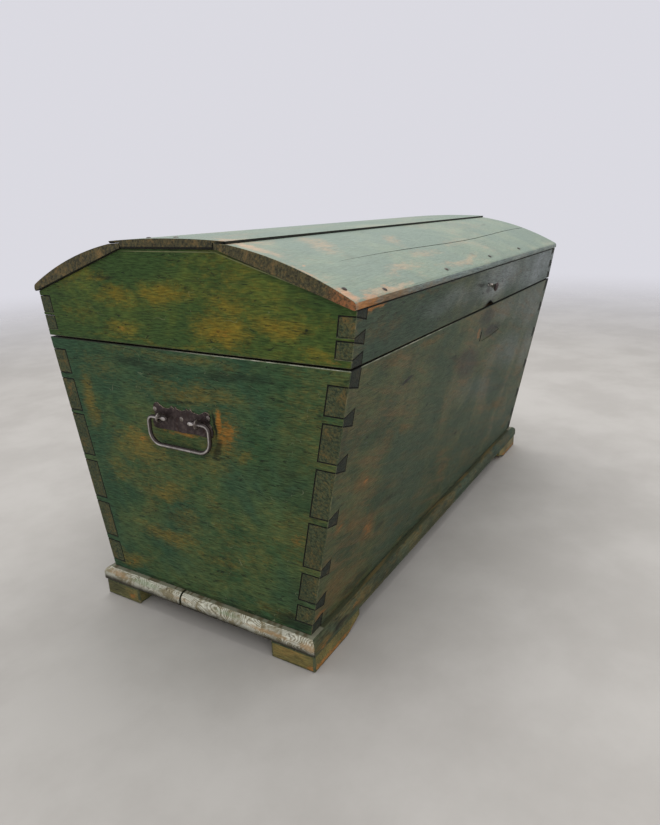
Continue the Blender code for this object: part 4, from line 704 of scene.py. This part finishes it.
plank_nose = painted_end_grain("plank_nose")
SKIRT_COATS = ((0.078, 0.084, 0.04), (0.04, 0.05, 0.026), (0.046, 0.078, 0.054), (0.15, 0.098, 0.032),
               (0.28, 0.13, 0.036), (0.016, 0.015, 0.011), (0.2, 0.21, 0.16))
SKIRT_OCHRE = (
    (-540, 40, 40, 12, 0.8), (-410, 50, 50, 10, 0.7), (-100, 54, 300, 5, 0.6), (350, 52, 200, 6, 0.6),
)
SKIRT_ORANGE = ((-535, 38, 26, 6, 0.6), (-430, 48, 20, 4, 0.5))
SKIRT_DARK = ((-480, 42, 30, 6, 0.7), (-50, 40, 500, 4, 0.4))
plank_long = worn_paint("plank_long", "XZ", SKIRT_COATS, SKIRT_OCHRE, SKIRT_ORANGE, SKIRT_DARK,
                        wear=0.45, gloss=0.2, roughness=(0.5, 0.7), shift=0.6)
FOOT_COATS = ((0.19, 0.165, 0.056), (0.086, 0.086, 0.036), (0.104, 0.114, 0.052), (0.27, 0.18, 0.058),
              (0.36, 0.15, 0.038), (0.018, 0.018, 0.011), (0.3, 0.28, 0.18))
FOOT_OCHRE = ((-190, 20, 60, 18, 0.75), (170, 16, 30, 12, 0.5))
FOOT_ORANGE = ((-232, 6, 14, 8, 0.8), (170, 14, 10, 6, 0.7))
FOOT_DARK = ((220, 20, 45, 12, 0.5),)
foot_paint = worn_paint("foot_paint", "YZ", FOOT_COATS, FOOT_OCHRE, FOOT_ORANGE, FOOT_DARK,
                        wear=0.4, gloss=0.2, shift=0.9)

# %% [markdown]
# The iron is forged: dark brown-black scale in the hollows, rubbed bright where the hand or the
# bail touches it, and a bloom of rust. A flat grey metal would look like new steel, so three
# noises mix the dark, the bright and the rusty iron. The bail gets a painted highlight only on its
# outer side, so its finish also asks how far a point is from the middle.

# %% Iron
HIGHLIGHT_FADE = 0.0007


def forged(name, dark, bright, rub, rust=0.35, roughness=0.45, metallic=0.75, depth=0.0006,
           highlight_from=None):
    """Iron; if a distance is given, it is bright only past it from the middle of the trunk, as a painted
    highlight.
    """
    iron = Finish(name, roughness=roughness, metallic=metallic, gloss=0.5)
    dents = iron.noise(iron.place, 160.0, 3.0, 0.5, 0.3)
    scale = iron.noise(iron.place, 420.0, 5.0, 0.7)
    bloom = iron.noise(iron.place, 75.0, 5.0, 0.65, 0.6)
    rubbed = iron.band(dents, 0.42, 0.70, 0.0, rub)
    if highlight_from:
        # Past that distance the rod gets a painted highlight, and nowhere else is it bright.
        outer = iron.band(iron.math("ABSOLUTE", iron.axis("X")), highlight_from, highlight_from + HIGHLIGHT_FADE)
        rubbed = iron.times(outer, iron.band(bloom, 0.35, 0.60, 1.0, 0.55))
    iron.colour = iron.blend(rubbed, dark, bright)
    iron.lay_where((0.09, 0.036, 0.014), bloom, 0.54, 0.70, rust)
    iron.lay_where((0.012, 0.01, 0.01), scale, 0.55, 0.75, 0.5)
    height = iron.weighed((dents, 0.7), (scale, 0.3))
    return iron.finished(iron.band(bloom, 0.35, 0.7, roughness - 0.1, roughness + 0.3), height, depth)


plate_iron = forged("plate_iron", (0.05, 0.036, 0.035), (0.16, 0.125, 0.112), 0.45)
bail_iron = forged("bail_iron", (0.06, 0.048, 0.044), (0.68, 0.64, 0.6), 0.8, 0.10, 0.32, 0.80, 0.00005,
                   highlight_from=0.5638)
edge_highlight_iron = forged("edge_highlight_iron", (0.4, 0.31, 0.25), (0.68, 0.56, 0.47), 0.8, 0.2, 0.36, 0.8, 0.0001)
bright_iron = forged("bright_iron", (0.15, 0.125, 0.11), (0.48, 0.44, 0.4), 0.7, 0.2, 0.34, 0.9, 0.0002)
knob_highlight_iron = forged("knob_highlight_iron", (0.26, 0.23, 0.2), (0.66, 0.61, 0.55), 0.9, 0.1, 0.26, 0.9, 0.0002)
nail_iron = forged("nail_iron", (0.07, 0.056, 0.048), (0.26, 0.22, 0.19), 0.6, 0.4, 0.45, 0.7)
lid_nail_iron = forged("lid_nail_iron", (0.04, 0.032, 0.026), (0.2, 0.165, 0.135), 0.5, 0.4, 0.5, 0.5)

# %% [markdown]
# A board is worked from a copy of its CAD solid. The copy comes as loose triangles, so its
# points are merged and its flat faces made whole before anything else. Then the edges are eased
# with a bevel, which is what a plane and a hundred years of use did to the real ones. The faces
# that the bevel makes get a finish of their own: dirt and painted shade inside a joint, worn wood
# on a free edge.

# %% Working on a copy
MERGE_WITHIN = 0.00002


def only(piece):
    """Selects this piece alone and makes it the active one."""
    if bpy.context.mode != "OBJECT":
        bpy.ops.object.mode_set(mode="OBJECT")
    bpy.ops.object.select_all(action="DESELECT")
    piece.select_set(True)
    bpy.context.view_layer.objects.active = piece


def working_copy(node, name, finishes, flat=0.4):
    """A copy of a CAD solid with its points merged and its flat faces in one piece."""
    piece = bpy.data.objects.new(name, frame["nodes"][node].data.copy())
    scene.collection.objects.link(piece)
    piece.data.materials.clear()
    for finish in finishes:
        piece.data.materials.append(finish)
    only(piece)
    bpy.ops.object.mode_set(mode="EDIT")
    bpy.ops.mesh.select_all(action="SELECT")
    bpy.ops.mesh.remove_doubles(threshold=MERGE_WITHIN)
    bpy.ops.mesh.customdata_custom_splitnormals_clear()
    bpy.ops.mesh.dissolve_limited(angle_limit=math.radians(flat))
    bpy.ops.object.mode_set(mode="OBJECT")
    return piece


def ease(piece, width, wanted, finish_index, segments=2, sharpness=20.0, shortest=0.006):
    """Rounds the sharp edges that pass the test, which gets an edge's middle and its outward way."""
    only(piece)
    bpy.ops.object.mode_set(mode="EDIT")
    bpy.ops.mesh.select_mode(type="EDGE")
    bpy.ops.mesh.select_all(action="DESELECT")
    shape = bmesh.from_edit_mesh(piece.data)
    for edge in shape.edges:
        if len(edge.link_faces) != 2 or edge.calc_face_angle(0) < math.radians(sharpness):
            continue
        middle = (edge.verts[0].co + edge.verts[1].co) / 2
        outward = (edge.link_faces[0].normal + edge.link_faces[1].normal).normalized()
        if edge.calc_length() > shortest and wanted(middle, outward):
            edge.select_set(True)
    bmesh.update_edit_mesh(piece.data)
    bpy.ops.mesh.bevel(offset=width, offset_type="OFFSET", segments=segments, affect="EDGES",
                       clamp_overlap=True, material=finish_index)
    bpy.ops.object.mode_set(mode="OBJECT")


def sort_faces(piece, rule):
    """Gives each face the finish whose number the rule returns for its middle and its normal."""
    for face in piece.data.polygons:
        face.material_index = rule(face.center, face.normal, face.material_index)


def stand_in(piece, node, slot):
    """Lets the piece stand for its CAD node and move with its body."""
    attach(piece, frame["nodes"][node]["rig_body"])
    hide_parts(node)
    print(piece.name, len(piece.data.polygons), "faces")


def put_in_place(piece, node, slot):
    """Smooths the eased edges into their faces before the piece takes its place."""
    only(piece)
    bpy.ops.object.shade_smooth_by_angle(angle=math.radians(14))
    stand_in(piece, node, slot)

# %% [markdown]
# The boards of the body and of the lid's frame are dovetailed in the same way. A front or back
# board's tails show their sawn ends on the trunk's ends, and the end boards' pins show theirs on
# the front and back. So the finish of a face follows from where it looks: outwards it is
# painted, along the grain it is a sawn end, inwards it is bare pine.

# %% How a dovetailed board is dressed
PAINT, SAWN, EDGE, DIRTY_AND_SHADED, BARE, LONG_EDGE, BRIGHT_EDGE = range(7)
OPEN_EASE = 0.0010
JOINT_EASE = 0.0010
RIM_EASE = 0.0012
RIM_BAND = 0.004
NEAR_END = 0.50
NEAR_SIDE = 0.17
CORNER_X = 0.545
CORNER_DEPTH = 0.006


def ease_board(piece, grain, cut, low, high):
    """Eases the rims, the joints and the open edges, but nothing in front of the cut's window."""
    cut_left, cut_right, cut_low, cut_high = cut

    def zone(place):
        if place.y < 0 and cut_left < place.x < cut_right and cut_low < place.z < cut_high:
            return "cut"
        if not low + RIM_BAND < place.z < high - RIM_BAND:
            return "rim"
        in_joint = abs(place.x) > NEAR_END if grain == "X" else abs(place.y) > NEAR_SIDE
        return "joint" if in_joint else "open"

    ease(piece, RIM_EASE, lambda place, outward: zone(place) == "rim", EDGE)
    ease(piece, JOINT_EASE, lambda place, outward: zone(place) == "joint", EDGE, segments=1, sharpness=50.0)
    ease(piece, OPEN_EASE, lambda place, outward: zone(place) == "open", EDGE, sharpness=50.0)


def on_corner(middle, normal, foot, foot_half, top, top_half):
    """Whether an eased face lies on an upright corner of a frame that widens evenly upwards."""
    turned = abs(normal.x) > 0.25 and abs(normal.y) > 0.25
    share = (middle.z - foot) / (top - foot)
    half = foot_half * (1 - share) + top_half * share
    return turned and abs(middle.x) > CORNER_X and abs(middle.y - BODY_Y) > half - CORNER_DEPTH


def board_rule(outward, grain, eased, on_rim):
    """Sorts the faces by the way that they look. Outward is the sign of the board's outside."""
    def rule(middle, normal, now):
        across = (normal.y if grain == "X" else normal.x) * outward
        along = normal.x if grain == "X" else normal.y
        if now == EDGE:
            return eased(middle, normal, across, grain)
        if abs(along) > 0.85 and (grain == "Y" or abs(middle.x) > NEAR_END):
            return SAWN
        if abs(across) > 0.6:
            return PAINT if across > 0 else BARE
        # Other side faces, the keyhole's bore among them, are dark: dirt, and painted shade in the slot.
        return LONG_EDGE if on_rim(middle, normal) else DIRTY_AND_SHADED
    return rule


def dovetailed_boards(boards, cut, low, high, rims, eased, on_rim):
    """Dresses four boards, given as rows of node, sign of the outside, grain, paint and slot."""
    for node, outward, grain, paint, slot in boards:
        ends = (tail_end, worn_edge, joint_dirt_and_shade, bare_pine)
        if grain == "Y":
            ends = (pin_end, worn_edge, joint_dirt_and_shade, bare_pine_across)
        piece = working_copy(node, "worn_" + node, (paint, *ends, *rims))
        ease_board(piece, grain, cut, low, high)
        sort_faces(piece, board_rule(outward, grain, eased, on_rim))
        put_in_place(piece, node, slot)

# %% [markdown]
# The four walls of the body. Their rim shows when the lid is open: its outer arris is rubbed
# pale at the near end, and the wood on top of it is brown from hands. Round the keyhole and the
# lock nothing is eased, because the edges there are cut by a chisel and lie close together.

# %% Walls of the body
LOCK_WINDOW = (-0.020, 0.160, 0.410, 0.470)
FOOT_DIRT = 0.006


def wall_eased(middle, normal, across, grain):
    """Eased faces of a wall: the rim, then the trunk's corners, then the joints."""
    if middle.z > RIM_Z - RIM_BAND:
        return BRIGHT_EDGE if across > 0.2 else LONG_EDGE
    corner = on_corner(middle, normal, WALL_FOOT, SOLE_HALF, RIM_Z, RIM_HALF)
    return EDGE if corner and middle.z > WALL_FOOT + FOOT_DIRT else DIRTY_AND_SHADED


def wall_rim(middle, normal):
    return normal.z > 0.8 and middle.z > RIM_Z - RIM_BAND


dovetailed_boards((("front_board", -1, "X", paint_front, "grey_green_paint"),
                   ("back_board", 1, "X", paint_back, "green_paint"),
                   ("left_end_board", -1, "Y", paint_left_end, "green_paint"),
                   ("right_end_board", 1, "Y", paint_right_end, "green_paint")),
                  LOCK_WINDOW, WALL_FOOT, RIM_Z, (rim_wood, rim_edge), wall_eased, wall_rim)

# %% [markdown]
# The lid's frame is two low rails between two gables. It meets the body's rim from above, so its
# worn edge is its lowest one, and the gables are also rubbed along the edge under the boards.
# The chip in the middle of the front rail stays as sharp as it broke.

# %% Frame of the lid
CHIP_WINDOW = (-0.012, 0.066, LID_FOOT + 0.0005, LID_FOOT + 0.014)
ABOVE_ALL = 1.0


def lid_eased(middle, normal, across, grain):
    """Eased faces of the lid's frame: the lower rim, the gables' upper edge, then the corners."""
    if middle.z < LID_FOOT + RIM_BAND:
        return EDGE if across > 0.8 else LONG_EDGE
    upper_edge = grain == "Y" and across > 0.3 and normal.z > 0.2
    corner = on_corner(middle, normal, LID_FOOT, RIM_HALF, EAVE_Z, EAVE_HALF)
    return EDGE if upper_edge or corner else DIRTY_AND_SHADED


def lid_rim(middle, normal):
    return normal.z < -0.8 and middle.z < LID_FOOT + RIM_BAND


dovetailed_boards((("lid_front_rail", -1, "X", paint_rail, "grey_green_paint"),
                   ("lid_back_rail", 1, "X", paint_back_rail, "green_paint"),
                   ("lid_left_gable", -1, "Y", paint_left_gable, "green_paint"),
                   ("lid_right_gable", 1, "Y", paint_right_gable, "green_paint")),
                  CHIP_WINDOW, LID_FOOT, ABOVE_ALL, (rim_wood,), lid_eased, lid_rim)

# %% [markdown]
# The lid's three boards curve over the frame and lap each other. Their long edges at the eaves
# are rubbed rounder than the rest, and their ends show the year rings. The shake, a split along
# the grain of the front board, is already in the solid, so its thin edges are left as they are.
# The solid's laps have a small clearance. Its light would shine through as a white line, so the
# thin tongues of the top board's copy are lowered by that much.

# %% Lid boards
SHAKE_Y = -0.2238
SHAKE_HALF = 0.012
SHAKE_END = 0.54
EAVE_Y = 0.30
LAP_FROM = 0.0915
LAP_LOW = 0.0045
LAP_HIGH = 0.0100
LAP_SAG = 0.0013
UNDER_SHADOW_EASE = 0.0036
LAP_EASE = 0.0028
BOARD_EASE = 0.0014


def lid_board_rule(middle, normal, now):
    """Sawn ends, then what was eased, then the painted top, the bare underside and the eave. Eased
    faces that look down and the side faces between the boards are dark: dirt, and painted shade.
    """
    eave = abs(middle.y) > EAVE_Y
    if abs(normal.x) > 0.95:
        return SAWN
    if now == DIRTY_AND_SHADED:
        return DIRTY_AND_SHADED
    if now == EDGE and abs(normal.x) > 0.2:
        return EDGE if normal.z > 0 else DIRTY_AND_SHADED
    if now == EDGE and eave:
        return LONG_EDGE if normal.z < 0.75 else PAINT
    if now == EDGE:
        return EDGE if normal.z > 0.2 else DIRTY_AND_SHADED
    if abs(normal.z) > 0.5:
        return PAINT if normal.z > 0 else BARE
    return LONG_EDGE if eave else DIRTY_AND_SHADED


def lid_board(node, paint):
    finishes = (paint, board_end, lid_edge, joint_dirt_and_shade, lid_under, paint_eave)
    piece = working_copy(node, "worn_" + node, finishes, 0.3)

    def under_end(place, outward):
        return abs(outward.x) > 0.5 and outward.z < -0.3

    def lap_edge(place, outward):
        return node == "lid_top_board" and outward.z > 0.3 and abs(outward.y) > 0.4

    def rest(place, outward):
        in_shake = abs(place.y - SHAKE_Y) < SHAKE_HALF and abs(place.x) < SHAKE_END
        return not in_shake and not under_end(place, outward) and not lap_edge(place, outward)

    if node == "lid_top_board":
        for point in piece.data.vertices:
            if abs(point.co.y - BODY_Y) > LAP_FROM and LAP_LOW < BOARD_TOP - point.co.z < LAP_HIGH:
                point.co.z -= LAP_SAG
    # The lower edge of each board's end is eased wide and painted dark, as the shadow under its overhang.
    ease(piece, UNDER_SHADOW_EASE, under_end, DIRTY_AND_SHADED, sharpness=35.0)
    ease(piece, LAP_EASE, lap_edge, EDGE, segments=3, sharpness=35.0, shortest=0.1)
    ease(piece, BOARD_EASE, rest, EDGE, segments=3, sharpness=35.0, shortest=0.005)
    sort_faces(piece, lid_board_rule)
    put_in_place(piece, node, "mint_paint")


lid_board("lid_front_slope_board", paint_lid)
lid_board("lid_top_board", paint_top)
lid_board("lid_back_slope_board", paint_lid)

# %% [markdown]
# Two planks close the bottom and stick out as a rounded skirting, and four block feet lift them
# off the floor. The planks' sawn ends face left and right: there the paint is almost white in
# the grain, with brown rubbed through it. Their noses are round in the solids already, so their
# copies only lose the sharp edges.

# %% Floor planks and feet
PLANK_EASE = 0.0010
FOOT_EASE = 0.0014


def everywhere(place, outward):
    return True


def plank_rule(middle, normal, now):
    """The upper side is bare inside the trunk, the sawn ends are pale, and the rest is painted."""
    if normal.z > 0.9:
        return BARE
    if now == DIRTY_AND_SHADED:
        return DIRTY_AND_SHADED
    return SAWN if abs(middle.x) > CORNER_X and abs(normal.x) > 0.2 else PAINT


PLANK_FINISHES = (plank_long, plank_nose, worn_edge, joint_dirt_and_shade, plank_top)
for node in ("front_floor_plank", "back_floor_plank"):
    plank = working_copy(node, "worn_" + node, PLANK_FINISHES, 0.3)
    ease(plank, PLANK_EASE, everywhere, DIRTY_AND_SHADED, sharpness=40.0)
    sort_faces(plank, plank_rule)
    put_in_place(plank, node, "worn_plank")
for node in ("front_left_foot", "front_right_foot", "back_left_foot", "back_right_foot"):
    foot = working_copy(node, "worn_" + node, (foot_paint, foot_paint, worn_edge))
    ease(foot, FOOT_EASE, everywhere, EDGE)
    put_in_place(foot, node, "olive_foot_paint")

# %% [markdown]
# The bail is one forged rod, thick where its tips turn in the eyes. A curve with a round bevel
# follows its line, and each point's radius swells the rod, which an extruded tube couldn't do.
# It becomes a mesh in its own place, so that it swings about the same pivots as its solid. The
# next cell makes both bails, each with the other ironwork of its side.

# %% Bails
EYE_REACH = 0.0405
TIP_INSIDE = 0.019
TIP_SWELLS = ((0.0, 0.35), (0.10, 0.95), (0.30, 1.30), (0.55, 1.22), (0.72, 0.95))
BAIL_HALF = 0.064
BAIL_DROP = 0.047
HIGH_CORNER = 0.010
LOW_CORNER = 0.022
BAIL_RADIUS = 0.0035
PIVOT = {"left": (-0.5609, 0.012365, 0.386), "right": (0.5609, 0.012365, 0.386)}


def bail_route(steps=10):
    """Half of the rod's line on Y and Z, from a tip inside its eye down to the middle of the bar."""
    tip = EYE_REACH - TIP_INSIDE
    route = [(tip + TIP_INSIDE * along, 0.0, swell) for along, swell in TIP_SWELLS]
    route.append((EYE_REACH, 0.0, 1.0))
    for middle_y, middle_z, radius, start in (
            (BAIL_HALF - HIGH_CORNER, -HIGH_CORNER, HIGH_CORNER, math.pi / 2),
            (BAIL_HALF - LOW_CORNER, LOW_CORNER - BAIL_DROP, LOW_CORNER, 0.0)):
        for step in range(steps + 1):
            turned = start - step / steps * math.pi / 2
            route.append((middle_y + radius * math.cos(turned), middle_z + radius * math.sin(turned), 1.0))
    return route


def bail(side):
    name = "forged_" + side + "_bail"
    line = bpy.data.curves.new(name, "CURVE")
    line.dimensions = "3D"
    line.bevel_depth = BAIL_RADIUS
    line.bevel_resolution = 6
    line.use_fill_caps = True
    half = bail_route()
    route = half + [(-y, z, swell) for y, z, swell in reversed(half)]
    rod = line.splines.new("POLY")
    rod.points.add(len(route) - 1)
    for point, (y, z, swell) in zip(rod.points, route):
        point.co = (PIVOT[side][0], PIVOT[side][1] + y, PIVOT[side][2] + z, 1)
        point.radius = swell
    piece = bpy.data.objects.new(name, line)
    scene.collection.objects.link(piece)
    only(piece)
    bpy.ops.object.convert(target="MESH")
    piece = bpy.context.object
    piece.data.materials.append(bail_iron)
    put_in_place(piece, side + "_bail", "iron")
    bpy.ops.object.shade_smooth()


print("Half of a bail's line has", len(bail_route()), "points")

# %% [markdown]
# The ironwork: plates and hinge leaves are cut from sheet, so they stay crisp and only lose
# their sharp edge, and the upward part of that edge is painted bright as a highlight. Eyes and
# the knob are round. They come from the solid as tubes of few sides, so a Subdivision Surface
# rounds their copies once their triangles are paired into quads.

# %% Ironwork
def iron_round(node, finishes, slot="iron", levels=2, rule=None):
    """A merged copy whose triangles are paired into quads and rounded by subdivision."""
    piece = working_copy(node, "forged_" + node, finishes, 0.05)
    bpy.ops.object.mode_set(mode="EDIT")
    bpy.ops.mesh.select_all(action="SELECT")
    bpy.ops.mesh.tris_convert_to_quads(face_threshold=math.radians(60), shape_threshold=math.radians(60))
    bpy.ops.object.mode_set(mode="OBJECT")
    bpy.ops.object.modifier_add(type="SUBSURF")
    rounding = piece.modifiers[-1]
    rounding.levels = rounding.render_levels = levels
    bpy.ops.object.modifier_apply(modifier=rounding.name)
    bpy.ops.object.shade_smooth()
    if rule:
        sort_faces(piece, rule)
    stand_in(piece, node, slot)


def iron_flat(node, width):
    """A cut plate whose upward edges are painted bright, as a highlight."""
    piece = working_copy(node, "forged_" + node, (plate_iron, edge_highlight_iron))
    ease(piece, width, everywhere, 0, sharpness=30.0, shortest=0.0012)
    sort_faces(piece, lambda middle, normal, now: 1 if normal.z > 0.30 else 0)
    put_in_place(piece, node, "iron")


for side in ("left", "right"):
    bail(side)
    for eye in ("_handle_eye_1", "_handle_eye_2"):
        iron_round(side + eye, (bright_iron,), levels=1)
    iron_flat(side + "_handle_plate", 0.0007)
    iron_flat(side + "_hinge_strap", 0.0006)
    iron_flat(side + "_hinge_lid_leaf", 0.0006)
# The knob's shank takes a bright iron as a painted highlight, and its disc the dark plate iron.
KNOB_DISC_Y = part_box("lid_knob")[0].y + 0.0052
iron_round("lid_knob", (knob_highlight_iron, plate_iron), "rubbed_iron",
           rule=lambda middle, normal, now: 1 if middle.y < KNOB_DISC_Y else 0)

# %% [markdown]
# The nails, the hinge pins and the lock have the right shape already. They could be copied too,
# but nothing on them needs rounding, so the solids themselves stay and only get their iron.

# %% Nails, pins and the lock keep their solids
for name, node in frame["nodes"].items():
    if node.hide_render:
        continue
    finish = nail_iron
    if name.startswith("lid_") and "nail" in name:
        finish = lid_nail_iron
    elif name == "lock_bolt" or "plate_nail" in name:
        finish = bright_iron
    elif "lock" in name:
        finish = plate_iron
    node.data.materials.clear()
    node.data.materials.append(finish)
    print("Kept", name, "in", finish.name)
